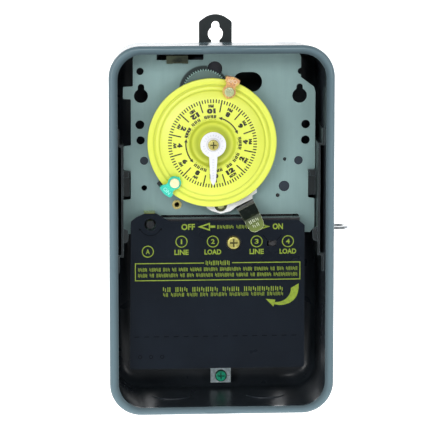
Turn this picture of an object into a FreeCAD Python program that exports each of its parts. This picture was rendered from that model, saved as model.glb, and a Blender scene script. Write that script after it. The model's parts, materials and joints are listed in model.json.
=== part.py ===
"""Twenty-four hour mechanical time switch in a drawn steel wall enclosure.

Frame: origin at the middle of the case's back face, +X to the right seen from the front,
+Y out of the back (towards the wall), +Z up.  All sizes are in millimetres.
Heights named h are measured forwards from the wall, so a point at height h has Y = -h.
"""
import FreeCAD, Part
import math
import os

os.makedirs("parts", exist_ok=True)
V = FreeCAD.Vector

# --- case ---
CASE_W = 127.0
CASE_H = 210.0
CASE_D = 62.0
OPENING_W = 117.0
OPENING_H = 200.8
SHEET = 1.2
OPENING_R = 14.0
BACK_R = 7.8
BEAD_R = 18.0
BEAD_T = 4.8

# --- mechanism stack, heights in front of the wall ---
PLATE_BACK = 36.4
PLATE_FRONT = 38.0
LEVER_BACK = 39.5
LEVER_FRONT = 41.0
ARM_FRONT = 44.0
GEAR_BACK = 44.6
GEAR_FRONT = 46.4
DIAL_EDGE = 50.0
POINTER_BACK = 58.0
POINTER_FRONT = 59.0
INSULATOR_BACK = 47.2
INSULATOR_FRONT = 48.0

# --- dial and gears ---
AXIS = (-4.8, 49.0)
DIAL_R = 36.5
DIAL_T = 0.8
MODULE = 0.465
DIAL_TEETH = 69
DRIVE_TEETH = 54
GEAR_ANGLE = 97.6
POST_R = 3.0
SLEEVE_R = 5.0
RUN = 0.05
PULL = 2.0

# --- lever ---
LEVER_ANGLE = 27.8
LEVER_TIP = 56.0
LEVER_STEP = 40.6

# --- terminals: A, 1, 2, 3, 4 ---
TERMINAL_X = {"a": -41.2, "1": -22.1, "2": -4.3, "3": 20.6, "4": 38.5}
SCREW_Z = -8.5
WELL_HALF = {"a": 5.0, "1": 7.0, "2": 7.0, "3": 7.0, "4": 6.4}
WELL_FLOOR = 31.0
BASE_FRONT = 46.4
BASE_TOP = 5.4
BASE_BOTTOM = -34.0

# --- contact arms ---
ARM_X = {"left": -9.5, "right": 11.0}
ARM_PIVOT_Z = -26.0
ARM_TOP_Z = 6.4


def polar(radius, degrees, centre=AXIS):
    """Point at an angle measured anticlockwise from +X, seen from the front."""
    a = math.radians(degrees)
    return (centre[0] + radius * math.cos(a), centre[1] + radius * math.sin(a))


def rounded_wire(points, h):
    """Closed outline in the X-Z plane at height h; a third value rounds that corner."""
    count = len(points)
    edges = []
    last = None
    first = None
    for i in range(count):
        p = V(points[i][0], -h, points[i][1])
        r = points[i][2] if len(points[i]) > 2 else 0.0
        before = V(points[i - 1][0], -h, points[i - 1][1])
        after = V(points[(i + 1) % count][0], -h, points[(i + 1) % count][1])
        if r > 0:
            u = (before - p).normalize()
            w = (after - p).normalize()
            half = math.acos(max(-1.0, min(1.0, u.dot(w)))) / 2
            reach = r / math.tan(half)
            start = p + u * reach
            end = p + w * reach
            middle = p + (u + w).normalize() * (r / math.sin(half) - r)
            arc = Part.Arc(start, middle, end).toShape()
        else:
            start = p
            end = p
            arc = None
        if last is not None and last.distanceToPoint(start) > 1e-6:
            edges.append(Part.makeLine(last, start))
        if first is None:
            first = start
        if arc is not None:
            edges.append(arc)
        last = end
    if last.distanceToPoint(first) > 1e-6:
        edges.append(Part.makeLine(last, first))
    return Part.Wire(edges)


def slab(points, h0, h1):
    """Extrude an X-Z outline from height h0 to height h1."""
    return Part.Face(rounded_wire(points, h0)).extrude(V(0, h0 - h1, 0))


def disc(x, z, r, h0, h1):
    """Round bar along Y between two heights."""
    return Part.makeCylinder(r, h1 - h0, V(x, -h0, z), V(0, -1, 0))


def block(x0, x1, z0, z1, h0, h1):
    """Plain rectangular block."""
    return Part.makeBox(x1 - x0, h1 - h0, z1 - z0, V(x0, -h1, z0))


def round_rect(half_w, half_h, r, h0, h1, x=0.0, z=0.0):
    """Rounded rectangular slab centred on x, z."""
    return slab([(x - half_w, z - half_h, r), (x + half_w, z - half_h, r),
                 (x + half_w, z + half_h, r), (x - half_w, z + half_h, r)], h0, h1)


def slot(x0, z0, x1, z1, r, h0, h1):
    """Round-ended slot cutter between two centres."""
    a = math.atan2(z1 - z0, x1 - x0) + math.pi / 2
    dx = r * math.cos(a)
    dz = r * math.sin(a)
    bar = slab([(x0 + dx, z0 + dz), (x0 - dx, z0 - dz), (x1 - dx, z1 - dz), (x1 + dx, z1 + dz)],
               h0, h1)
    return bar.fuse([disc(x0, z0, r, h0, h1), disc(x1, z1, r, h0, h1)]).removeSplitter()


def back_edges(shape, h):
    """Edges lying in the plane at height h."""
    return [e for e in shape.Edges
            if abs(e.BoundBox.YMin + h) < 1e-6 and abs(e.BoundBox.YMax + h) < 1e-6]


def join(*shapes):
    """Fuse several solids into one clean solid."""
    return shapes[0].fuse(list(shapes[1:])).removeSplitter()


def group(*shapes):
    """Keep identical pieces as separate solids in one node."""
    return Part.Compound(list(shapes))


def spun(shape, degrees):
    """Turn a shape about the dial axis; positive is clockwise seen from the front."""
    copy = shape.copy()
    copy.rotate(V(AXIS[0], 0, AXIS[1]), V(0, 1, 0), degrees)
    return copy


def pan_screw(x, z, head_r, head_h0, head_h1, shank_r, tip_h, cross=0.9):
    """Pan-head screw with a cross recess."""
    head = disc(x, z, head_r, head_h0, head_h1)
    head = head.makeFillet(0.35 * (head_h1 - head_h0), back_edges(head, head_h1))
    body = head.fuse(disc(x, z, shank_r, tip_h, head_h0)).removeSplitter()
    arm = head_r * 0.62
    depth = 0.55 * (head_h1 - head_h0)
    for w, t in ((arm, cross / 2), (cross / 2, arm)):
        body = body.cut(block(x - w, x + w, z - t, z + t, head_h1 - depth, head_h1 + 1))
    return body


def gear(x, z, teeth, phase, h0, h1, bore):
    """Spur gear with straight-sided teeth and running backlash."""
    pitch_r = MODULE * teeth / 2
    root_r = pitch_r - 1.2 * MODULE
    tip_r = pitch_r + 0.85 * MODULE
    step = 360.0 / teeth
    root_half = 0.27 * step
    tip_half = 0.11 * step
    points = []
    for i in range(teeth):
        a = phase - i * step
        for r, off in ((root_r, root_half), (tip_r, tip_half), (tip_r, -tip_half),
                       (root_r, -root_half)):
            points.append(polar(r, a + off, (x, z)))
    return slab(points, h0, h1).cut(disc(x, z, bore, h0 - 1, h1 + 1))


def save(shape, name):
    """Write one node."""
    shape.exportStep("parts/" + name + ".step")


# =====================================================================================
# Enclosure
# =====================================================================================
half_w = OPENING_W / 2
half_h = OPENING_H / 2
tub = round_rect(half_w + SHEET, half_h + SHEET, OPENING_R + SHEET, 0, CASE_D - BEAD_T)
tub = tub.makeFillet(BACK_R + SHEET, back_edges(tub, 0))
cavity = round_rect(half_w, half_h, OPENING_R, SHEET, CASE_D + 1)
cavity = cavity.makeFillet(BACK_R, back_edges(cavity, SHEET))
bead = round_rect(CASE_W / 2, CASE_H / 2, BEAD_R, CASE_D - BEAD_T, CASE_D)
bead = bead.makeFillet(2.2, back_edges(bead, CASE_D))
bead = bead.makeFillet(1.2, back_edges(bead, CASE_D - BEAD_T))
TAB_X = 0.4
pocket_bump = round_rect(11.6, 19.0, 3.0, SHEET, SHEET + 1.5, TAB_X, 76.0)
shell = join(tub, bead).cut(cavity)
shell = shell.fuse(pocket_bump)
shell = shell.cut(round_rect(9.8, 30.4, 0.2, -1.0, 1.6, TAB_X, 90.0))
dip_r = 61.0
for z0 in (CASE_H / 2 - 6.0, -CASE_H / 2 - 1.0):
    shell = shell.cut(Part.makeCylinder(dip_r, 7.0, V(0.0, -(CASE_D - 0.9 + dip_r), z0)))
WALL_HOLE_X = 38.0
WALL_HOLE_Z = -85.5
WALL_HOLE_R = 3.5
for sx in (-1, 1):
    shell = shell.cut(disc(sx * WALL_HOLE_X, WALL_HOLE_Z, WALL_HOLE_R, -1, 3))
KNOCK_R = 11.1
KNOCK_H = 30.0
for kx in (-27.0, 27.0):
    shell = shell.cut(Part.makeCylinder(KNOCK_R, 4.0, V(kx, -KNOCK_H, -half_h - 2.5)))
shell = shell.removeSplitter()
save(shell, "enclosure_shell")

slugs = [Part.makeCylinder(KNOCK_R, SHEET, V(kx, -KNOCK_H, -half_h - SHEET + 0.5))
         for kx in (-27.0, 27.0)]
save(group(*slugs), "bottom_knockouts")

hanger = slab([(TAB_X - 9.5, 60.0), (TAB_X + 9.5, 60.0), (TAB_X + 9.5, 112.8, 2.0),
               (TAB_X, 119.4, 11.0), (TAB_X - 9.5, 112.8, 2.0)], 0, 1.5)
KEY_Z = 105.7
hanger = hanger.cut(disc(TAB_X, KEY_Z, 4.3, -1, 3))
hanger = hanger.cut(slot(TAB_X, KEY_Z, TAB_X, 110.7, 2.3, -1, 3))
hanger = hanger.cut(slot(TAB_X, KEY_Z, TAB_X, 99.0, 2.3, -1, 3))
save(hanger, "hanger_bracket")

EYE_H = 46.5
eye = Part.makeCylinder(6.5, 1.5, V(66.3, -EYE_H, -0.75))
eye = eye.fuse(Part.makeBox(6.6, 13.0, 1.5, V(59.7, -EYE_H - 6.5, -0.75)))
eye = eye.fuse(block(59.7, 61.0, -6.0, 6.0, 39.0, 54.0))
eye = eye.removeSplitter().cut(Part.makeCylinder(3.6, 6.0, V(66.4, -EYE_H, -3)))
save(eye, "hasp_eye")


def side_bracket(sign):
    """Support strip spot-welded to a side wall, with a ledge and hook tabs."""
    def piece(a, b, z0, z1, h0, h1):
        lo, hi = sorted((sign * a, sign * b))
        return block(lo, hi, z0, z1, h0, h1)
    parts = [piece(55.0, 56.2, -15.5, 48.6, 26.0, 52.0),
             piece(55.0, 58.5, 47.4, 48.6, 26.0, 52.0),
             piece(57.3, 58.5, 47.4, 57.0, 26.0, 52.0),
             piece(55.0, 58.5, -15.5, -14.3, 26.0, 52.0),
             piece(57.3, 58.5, -24.6, -14.3, 26.0, 52.0),
             piece(50.8, 55.0, 17.0, 45.0, PLATE_BACK - 1.2, PLATE_BACK),
             piece(51.6, 55.0, 28.2, 31.4, PLATE_BACK - 1.2, PLATE_FRONT + 2.6),
             piece(50.4, 55.0, 31.0, 31.9, PLATE_FRONT + 0.1, PLATE_FRONT + 2.6)]
    strip = join(*parts)
    low = slab([(sign * 55.0, -8.0), (sign * 55.0, 0.5), (sign * 52.3, -0.6, 1.8),
                (sign * 52.3, -6.9, 1.8)], 48.5, 49.7)
    return strip.fuse(low).removeSplitter()


save(side_bracket(-1), "side_bracket_left")
save(side_bracket(1), "side_bracket_right")

lug = join(block(-2.95, 8.75, -97.4, -88.8, 8.2, 9.6), block(-2.95, 8.75, -90.2, -88.8, 1.2, 9.6),
           block(-2.95, 8.75, -90.2, -78.0, 1.2, 2.6))
lug = lug.cut(disc(2.95, -93.2, 2.0, 7, 11))
save(lug, "ground_lug")
save(pan_screw(2.95, -93.2, 3.4, 9.6, 11.8, 2.0, 3.6, 0.9), "ground_screw")

CLIP_X0 = -29.9
CLIP_X1 = -17.7
anchor = block(CLIP_X0 - 1, CLIP_X1 + 1, 84.0, 98.0, 1.2, 4.0).cut(shell)
anchor = max(anchor.Solids, key=lambda s: s.Volume)
save(anchor, "clip_anchor")
clip = join(block(CLIP_X0, CLIP_X1, 96.2, 97.2, 4.3, 39.2),
            block(CLIP_X0, CLIP_X1, 92.8, 97.2, 38.2, 39.2),
            block(CLIP_X0, CLIP_X1, 92.8, 93.6, 38.2, 40.4))
clip = clip.cut(block(-26.5, -21.1, 92.0, 93.0, 37.0, 41.0))
save(clip, "top_spring_clip")

# =====================================================================================
# Mechanism plate
# =====================================================================================
plate = slab([(-48.8, 98.5, 3.0), (46.4, 98.5, 3.0), (46.4, 84.4, 0.8), (53.9, 78.8, 1.2),
              (54.6, 76.0), (54.6, 32.0, 0.8), (50.7, 31.6, 0.8), (50.7, 15.4, 0.8),
              (54.4, 15.0, 0.8), (54.4, -1.5, 0.8), (51.8, -4.5, 0.8), (45.8, -4.5),
              (45.8, 6.2, 1.5), (-34.0, 6.2, 1.5), (-34.0, -4.5), (-52.2, -4.5, 0.8),
              (-54.6, -1.5, 0.8), (-54.6, 15.0, 0.8), (-50.2, 15.4, 0.8), (-50.2, 31.8, 0.8),
              (-54.2, 32.2, 0.8), (-54.2, 45.8, 0.8), (-50.0, 46.2, 0.8), (-50.0, 72.6, 0.6),
              (-54.4, 72.8, 0.6), (-54.4, 79.6, 0.6), (-48.8, 79.8, 0.6)],
             PLATE_BACK, PLATE_FRONT)
PLATE_HOLES = {"corner": (-44.8, 88.4, 2.1), "side_a": (-45.0, 58.0, 2.55),
               "side_b": (-44.6, 49.1, 2.4), "side_c": (-42.6, 21.9, 1.65),
               "right_a": (49.2, 57.6, 2.5), "right_b": (49.1, 48.6, 2.5),
               "pin": (37.3, 37.7, 1.1), "small": (33.4, 16.9, 1.2), "top": (-2.5, 89.5, 4.35),
               "edge": (46.4, 87.9, 1.9)}
for hx, hz, hr in PLATE_HOLES.values():
    plate = plate.cut(disc(hx, hz, hr, 35, 40))
for kx, kz, kr, top in ((-44.3, 74.4, 4.0, 79.4), (45.7, 74.0, 4.2, 79.0)):
    plate = plate.cut(disc(kx, kz, kr, 35, 40))
    plate = plate.cut(slot(kx, kz, kx, top, 1.85, 35, 40))
plate = plate.cut(slot(13.5, 81.9, 18.7, 81.9, 5.7, 35, 40))
plate = plate.cut(block(-35.4, -8.8, 94.6, 100.0, 35, 40))
plate = plate.cut(disc(AXIS[0], AXIS[1], POST_R + 1.0, 35, 40))
drive = polar(MODULE * (DIAL_TEETH + DRIVE_TEETH) / 2, GEAR_ANGLE)
plate = plate.cut(disc(drive[0], drive[1], 3.0, 35, 40))
RIVETS = {"motor_left": (-42.65, 37.45, 2.4), "motor_right": (45.2, 36.9, 2.5),
          "base_right": (37.05, 22.2, 3.1)}
for rx, rz, rr in RIVETS.values():
    plate = plate.cut(disc(rx, rz, rr, 35, 40))
EYELET = (-24.1, 12.2)
plate = plate.cut(disc(EYELET[0], EYELET[1], 1.9, 35, 40))
save(plate, "mechanism_plate")

# --- motor on its strap behind the plate ---
STRAP_BACK = PLATE_BACK - 1.6
strap = join(block(-46.5, 49.5, 32.6, 41.6, STRAP_BACK, PLATE_BACK),
             block(-27.0, 10.0, 41.0, 84.5, STRAP_BACK, PLATE_BACK))
strap = strap.cut(disc(AXIS[0], AXIS[1], 6.4, 30, 40))
strap = strap.cut(disc(drive[0], drive[1], 4.5, 30, 40))
for name in ("motor_left", "motor_right"):
    rx, rz, rr = RIVETS[name]
    strap = strap.cut(disc(rx, rz, rr - 0.9, 30, 40))
MOTOR_R = 19.0

save(strap, "motor_strap")
motor_rivets = []
for name in ("motor_left", "motor_right"):
    rx, rz, rr = RIVETS[name]
    motor_rivets.append(join(disc(rx, rz, rr, PLATE_BACK, PLATE_FRONT - 0.5),
                             disc(rx, rz, rr - 0.9, STRAP_BACK, PLATE_BACK),
                             disc(rx, rz, rr, STRAP_BACK - 0.8, STRAP_BACK)))
save(group(*motor_rivets), "motor_strap_rivets")
can = disc(drive[0], drive[1], MOTOR_R, 12.0, STRAP_BACK)
can = can.makeFillet(1.5, back_edges(can, STRAP_BACK))
can = can.cut(disc(drive[0], drive[1], MOTOR_R - 0.8, 11.0, STRAP_BACK - 0.8))
can = can.cut(disc(drive[0], drive[1], 4.5, 11.0, 40.0))
save(can, "motor_can")
save(disc(drive[0], drive[1], MOTOR_R - 0.8, 12.0, 13.0), "motor_rear_cover")
coil = disc(drive[0], drive[1], MOTOR_R - 0.8, 14.0, 24.0).cut(disc(drive[0], drive[1], 9.0, 13, 25))
bobbin = join(disc(drive[0], drive[1], MOTOR_R - 0.8, 13.0, 14.0),
              disc(drive[0], drive[1], 9.0, 13.0, 24.0),
              disc(drive[0], drive[1], MOTOR_R - 0.8, 24.0, 25.0))
save(coil, "motor_coil")
save(bobbin, "motor_coil_bobbin")
gearbox = disc(drive[0], drive[1], MOTOR_R - 0.8, 25.0, STRAP_BACK - 0.8)
gearbox = gearbox.cut(disc(drive[0], drive[1], 2.0 + RUN, 27.0, 40.0))
save(gearbox, "motor_gearbox")
shaft = join(disc(drive[0], drive[1], 2.0, 28.0, GEAR_FRONT + 0.9),
             disc(drive[0], drive[1], 3.4, GEAR_BACK - 1.4, GEAR_BACK))
save(shaft, "motor_output_shaft")
leads = []
for lx in (-25.6, -22.4):
    lead = Part.makeCylinder(1.1, 66.0, V(lx, -24.0, BASE_TOP))
    leads.append(lead.cut(disc(drive[0], drive[1], MOTOR_R, 10.0, 36.0)).Solids[0])
save(group(*leads), "motor_leads")

# --- drive gear and dial gear, meshing ---
half_pitch = 180.0 / DRIVE_TEETH
drive_gear = gear(drive[0], drive[1], DRIVE_TEETH, GEAR_ANGLE + 180 + half_pitch,
                  GEAR_BACK, GEAR_FRONT, 2.0)
save(drive_gear, "drive_gear")
HUB_R = 8.0
dial_gear = gear(AXIS[0], AXIS[1], DIAL_TEETH, GEAR_ANGLE, GEAR_BACK, GEAR_FRONT, HUB_R - 1.4)
save(dial_gear, "dial_gear")

# --- dial post, sleeve, hub, dial, spring, pointer ---
post = join(disc(AXIS[0], AXIS[1], 5.6, STRAP_BACK + 0.2, PLATE_BACK),
            disc(AXIS[0], AXIS[1], POST_R + 1.0, PLATE_BACK, PLATE_FRONT),
            disc(AXIS[0], AXIS[1], 6.0, PLATE_FRONT, LEVER_BACK - 0.1),
            disc(AXIS[0], AXIS[1], POST_R, LEVER_BACK - 0.1, POINTER_BACK))
post = post.cut(disc(AXIS[0], AXIS[1], 1.5, 50.0, 60.0))
save(post, "dial_post")
SLEEVE_BACK = ARM_FRONT + 0.3
SLEEVE_FRONT = 54.4
sleeve = join(disc(AXIS[0], AXIS[1], SLEEVE_R, SLEEVE_BACK, SLEEVE_FRONT),
              disc(AXIS[0], AXIS[1], 6.2, 54.0, SLEEVE_FRONT))
sleeve = sleeve.cut(disc(AXIS[0], AXIS[1], POST_R + RUN, 40, 60))
save(sleeve, "dial_sleeve")
hub = join(disc(AXIS[0], AXIS[1], HUB_R - 1.4, GEAR_BACK, GEAR_FRONT),
           disc(AXIS[0], AXIS[1], HUB_R, GEAR_FRONT, 51.6),
           disc(AXIS[0], AXIS[1], HUB_R - 1.4, 51.6, 53.4))
hub = hub.cut(disc(AXIS[0], AXIS[1], SLEEVE_R + RUN, 40, 60))
save(hub, "dial_hub")

# Dial face: outer rim, two grooves, domed ring that carries the scale, dished centre.
DIAL_PROFILE = [(36.5, 49.7), (36.2, 50.1), (33.7, 50.4), (33.2, 50.0), (32.5, 50.0),
                (31.9, 50.7), (30.6, 51.0), (30.1, 50.8), (29.4, 51.4), (25.4, 52.9),
                (14.6, 54.6), (13.8, 54.7), (13.0, 54.2), (11.6, 52.7), (9.8, 52.4), (6.6, 52.4)]
front = [V(AXIS[0] + r, -h, AXIS[1]) for r, h in DIAL_PROFILE]
rear = [V(AXIS[0] + r, -(h - DIAL_T), AXIS[1]) for r, h in reversed(DIAL_PROFILE)]
section = Part.Face(Part.makePolygon(front + rear + [front[0]]))
dial = section.revolve(V(AXIS[0], 0, AXIS[1]), V(0, 1, 0), 360)
dial = Part.Solid(dial) if dial.ShapeType == "Shell" else dial
save(dial, "dial_plate")

turns = 3
spring_len = POINTER_BACK - SLEEVE_FRONT
helix = Part.makeHelix((spring_len - 0.5) / turns, spring_len - 0.5, 4.1)
start = V(4.1, 0, 0)
ring = Part.Wire(Part.makeCircle(0.22, start, V(0, 1, 0)))
coil_wire = Part.Wire(helix.Edges).makePipeShell([ring], True, True)
coil_wire.rotate(V(0, 0, 0), V(1, 0, 0), 90)
coil_wire.translate(V(AXIS[0], -(SLEEVE_FRONT + 0.25), AXIS[1]))
save(coil_wire, "dial_return_spring")

pointer = join(disc(AXIS[0], AXIS[1], 7.2, POINTER_BACK, POINTER_FRONT),
               slab([(AXIS[0] - 2.5, AXIS[1] - 4.0), (AXIS[0] + 2.5, AXIS[1] - 4.0),
                     (AXIS[0] + 1.5, AXIS[1] - 20.5, 0.6), (AXIS[0], AXIS[1] - 23.6, 0.5),
                     (AXIS[0] - 1.5, AXIS[1] - 20.5, 0.6)], POINTER_BACK, POINTER_FRONT))
pointer = pointer.cut(disc(AXIS[0], AXIS[1], 1.5, 55, 62))
save(pointer, "time_pointer")
save(pan_screw(AXIS[0], AXIS[1], 3.0, POINTER_FRONT, 60.9, 1.5, 51.0, 0.8), "pointer_screw")

# =====================================================================================
# Trippers on the dial edge
# =====================================================================================
CLAMP_R = 30.8


def tripper(angle, reach):
    """Body, rear jaw and thumb screw of one tripper, set at an angle on the dial."""
    cx, cz = AXIS
    turn = angle - 90.0
    seat = cz + CLAMP_R
    crown = [(cx + 4.1, cz + 38.6, 0.7), (cx, cz + 39.4, 6.0), (cx - 4.1, cz + 38.6, 0.7)]
    body = join(disc(cx, seat, 3.7, 52.6, 54.4),
                slab([(cx, cz + 26.5, 0.3), (cx + 3.1, seat - 2.0), (cx - 3.1, seat - 2.0)], 52.6, 54.4),
                slab([(cx - 2.9, seat), (cx + 2.9, seat), (cx + 2.75, cz + 34.8, 0.8),
                      (cx + 4.1, cz + 36.5, 0.4)] + crown +
                     [(cx - 4.1, cz + 36.5, 0.4), (cx - 2.75, cz + 34.8, 0.8)], 52.6, 54.4))
    heel = slab([(cx - 4.1, cz + 37.2), (cx + 4.1, cz + 37.2)] + crown, 48.9, 52.6)
    body = join(body, heel).cut(disc(cx, seat, 1.25 + RUN, 40, 60))
    jaw = slab([(cx - 4.1, cz + 33.4, 0.8), (cx + reach, cz + 34.4, 0.8), (cx + reach, cz + 38.4, 0.8),
                (cx, cz + 39.2, 6.0), (cx - 4.1, cz + 38.6, 0.7)], 47.2, 48.9)
    head = disc(cx, seat, 2.7, 54.4, 56.4)
    head = head.makeFillet(0.5, back_edges(head, 56.4))
    screw = head.fuse(disc(cx, seat, 1.25, 51.5, 54.4)).removeSplitter()
    screw = screw.cut(block(cx - 3, cx + 3, seat - 0.45, seat + 0.45, 55.9, 57))
    return [spun(s, -turn) for s in (body, jaw, screw)]


ON_ANGLE = 225.6
OFF_ANGLE = 72.5
for label, angle, reach in (("on", ON_ANGLE, 6.2), ("off", OFF_ANGLE, 4.1)):
    body, jaw, screw = tripper(angle, reach)
    save(body, label + "_tripper")
    save(jaw, label + "_tripper_jaw")
    save(screw, label + "_tripper_screw")

# =====================================================================================
# Lever and trip arm
# =====================================================================================
cx, cz = AXIS
bore = disc(cx, cz, POST_R + RUN, 30, 60)
lever = disc(cx, cz, 9.0, LEVER_BACK, LEVER_FRONT)
lever = lever.fuse(slab([(cx - 6.0, cz - 3.0), (cx + 6.0, cz - 3.0), (cx + 5.3, cz - LEVER_STEP),
                         (cx - 5.3, cz - LEVER_STEP)], LEVER_BACK, LEVER_FRONT))
rise = [(LEVER_STEP - 0.4, LEVER_BACK), (LEVER_STEP + 1.6, 50.4), (LEVER_STEP + 7.6, 50.9),
        (LEVER_TIP, 53.4), (LEVER_TIP, 54.9), (LEVER_STEP + 7.2, 52.4), (LEVER_STEP + 0.6, 51.9),
        (LEVER_STEP - 0.6, LEVER_FRONT)]
profile = [V(cx - 6.0, -h, cz - r) for r, h in rise]
riser = Part.Face(Part.makePolygon(profile + [profile[0]])).extrude(V(12.0, 0, 0))
trim = slab([(cx - 5.3, cz - LEVER_STEP + 2), (cx + 5.3, cz - LEVER_STEP + 2),
             (cx + 5.1, cz - LEVER_STEP - 5), (cx + 4.4, cz - LEVER_TIP, 3.6),
             (cx - 4.4, cz - LEVER_TIP, 3.6), (cx - 5.1, cz - LEVER_STEP - 5)], 38, 56)
lever = lever.fuse(riser.common(trim)).removeSplitter().cut(bore)
lever = spun(lever, -LEVER_ANGLE)
save(lever, "manual_lever")

STUD = (0.5, 12.4)
arm = slab([(20.9, 21.7, 0.5), (21.0, 19.5, 0.5), (18.4, 17.8, 0.5), (18.5, 16.0, 0.4),
            (8.9, 11.3, 0.5), (6.2, 9.1, 1.0), (0.5, 7.6, 3.0), (-4.7, 9.2, 1.5),
            (-7.5, 11.0, 0.8), (-9.5, 24.0), (-11.0, 46.0), (3.0, 52.0), (18.0, 30.0, 2.0)],
           LEVER_FRONT, ARM_FRONT)
arm = arm.fuse(disc(cx, cz, 8.5, LEVER_FRONT, ARM_FRONT)).removeSplitter().cut(bore)
arm = arm.cut(disc(STUD[0], STUD[1], 3.7, 40, 46))
save(arm, "trip_arm")
stud = join(disc(STUD[0], STUD[1], 3.7, LEVER_FRONT, LEVER_FRONT + 0.8),
            disc(STUD[0], STUD[1], 2.6, LEVER_FRONT + 0.8, ARM_FRONT - 0.4))
save(stud, "lever_stud")

# =====================================================================================
# Switch base, terminals and contacts
# =====================================================================================
base = join(block(-33.4, 45.2, BASE_BOTTOM, BASE_TOP, 17.0, BASE_FRONT),
            block(-47.0, 47.0, BASE_BOTTOM, -5.0, 17.0, BASE_FRONT),
            block(-29.5, 41.5, BASE_TOP, 17.0, 31.0, PLATE_BACK),
            block(32.0, 41.5, 16.0, 26.6, 31.0, PLATE_BACK))
for name, x in TERMINAL_X.items():
    hw = WELL_HALF[name]
    base = base.cut(block(x - hw, x + hw, BASE_BOTTOM - 1, -3.0 if name != "a" else -6.5,
                          WELL_FLOOR, BASE_FRONT + 1))
base = base.cut(block(-20.0, 2.6, -31.0, BASE_TOP + 1, 16.0, 29.0))
base = base.cut(block(3.8, 44.0, -31.0, -22.0, 16.0, 29.0))
base = base.cut(block(3.8, 24.0, -23.0, BASE_TOP + 1, 16.0, 29.0))
base = base.cut(block(-30.0, -19.0, -31.0, -22.0, 16.0, 29.0))
base = base.cut(block(-20.0, 24.0, 3.0, BASE_TOP + 1, 16.0, 29.0))
for slot_x in (-22.1, 38.5):
    base = base.cut(block(slot_x - 2.0, slot_x + 2.0, -28.0, -24.0, 28.0, 32.0))
for slot_x in (-4.6, 15.9):
    base = base.cut(block(slot_x - 0.6, slot_x + 0.6, -9.0, -3.0, 28.0, 32.0))
base = base.cut(disc(EYELET[0], EYELET[1], 1.9, 30, 38))
base = base.cut(disc(RIVETS["base_right"][0], RIVETS["base_right"][1], 2.2, 30, 38))
base = base.cut(disc(7.5, -8.5, 1.8, 36, 48))
for x in TERMINAL_X.values():
    base = base.cut(disc(x, SCREW_Z if x > -40 else -13.0, 1.9, 29.6, 33))
base = base.fuse(disc(29.5, -9.1, 1.3, BASE_FRONT, 48.7)).removeSplitter()
save(base, "switch_base")
cover = block(-33.4, 45.2, BASE_BOTTOM, BASE_TOP, 15.8, 17.0)
save(cover, "switch_back_cover")
rx, rz, rr = RIVETS["base_right"]
save(join(disc(rx, rz, rr, PLATE_BACK, PLATE_FRONT - 0.4), disc(rx, rz, rr - 0.9, 31.0, PLATE_BACK),
          disc(rx, rz, rr, 30.2, 31.0)), "base_rivet")
eyelet = join(disc(EYELET[0], EYELET[1], 2.65, PLATE_FRONT, PLATE_FRONT + 0.6),
              disc(EYELET[0], EYELET[1], 1.9, 31.0, PLATE_FRONT),
              disc(EYELET[0], EYELET[1], 2.6, 30.4, 31.0))
eyelet = eyelet.cut(disc(EYELET[0], EYELET[1], 1.4, 30, 40))
save(eyelet, "base_eyelet")

STRIP_TOP = WELL_FLOOR + 1.4
for name, x in TERMINAL_X.items():
    sz = SCREW_Z if name != "a" else -13.0
    hw = 5.6 if name != "a" else 4.4
    strip = block(x - hw, x + hw, -29.0, sz + 5.0, WELL_FLOOR, STRIP_TOP)
    if name in ("1", "4"):
        px = ARM_X["left"] if name == "1" else ARM_X["right"]
        lo = min(x - 2.0, px - 3.0)
        hi = max(x + 2.0, px + 3.0)
        strip = join(strip, block(x - 2.0, x + 2.0, -28.0, -24.0, 25.6, WELL_FLOOR),
                     block(lo, hi, -28.0, -24.0, 24.4, 25.6),
                     disc(px, ARM_PIVOT_Z, 1.2, 20.4, 24.4))
    if name in ("2", "3"):
        tx = -4.6 if name == "2" else 15.9
        strip = join(strip, block(tx - 0.6, tx + 0.6, -9.0, -3.0, 20.5, WELL_FLOOR + 0.5))
    strip = strip.cut(disc(x, sz, 1.9, 29, 34))
    save(strip, "terminal_strip_" + name)
screws = []
clamps = []
for name, x in TERMINAL_X.items():
    sz = SCREW_Z if name != "a" else -13.0
    hw = 5.2 if name != "a" else 4.2
    screws.append(pan_screw(x, sz, 4.0, STRIP_TOP + 1.4, STRIP_TOP + 4.0, 1.9, 29.6, 1.0))
    clamps.append(block(x - hw, x + hw, sz - 4.6, sz + 4.2, STRIP_TOP, STRIP_TOP + 1.4)
                  .cut(disc(x, sz, 1.9, 29, 36)))
save(group(*screws), "terminal_screws")
save(group(*clamps), "terminal_clamps")

moving = []
fixed = []
for side, x in ARM_X.items():
    blade = slab([(x - 1.5, ARM_TOP_Z, 0.6), (x + 1.5, ARM_TOP_Z, 0.6), (x + 1.5, -24.0),
                  (x + 2.6, -25.5), (x + 2.6, -28.4, 1.2), (x - 2.6, -28.4, 1.2), (x - 2.6, -25.5),
                  (x - 1.5, -24.0)], 21.6, 24.0)
    blade = blade.cut(disc(x, ARM_PIVOT_Z, 1.2 + RUN, 20, 26))
    save(blade, "contact_arm_" + side)
    tab_face = (-4.6 if side == "left" else 15.9) - 0.6
    split = tab_face - 1.1
    save(Part.makeCylinder(1.9, split - (x + 1.5), V(x + 1.5, -22.8, -6.0), V(1, 0, 0)),
         "moving_contact_" + side)
    fixed.append(Part.makeCylinder(1.9, tab_face - split, V(split, -22.8, -6.0), V(1, 0, 0)))
save(group(*fixed), "fixed_contacts")
bar = block(-13.5, 15.0, 3.4, 8.6, 20.6, 25.0)
for x in ARM_X.values():
    bar = bar.cut(block(x - 1.95, x + 1.95, 3.0, 6.9, 20.0, 26.0))
save(bar, "contact_crossbar")

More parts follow.
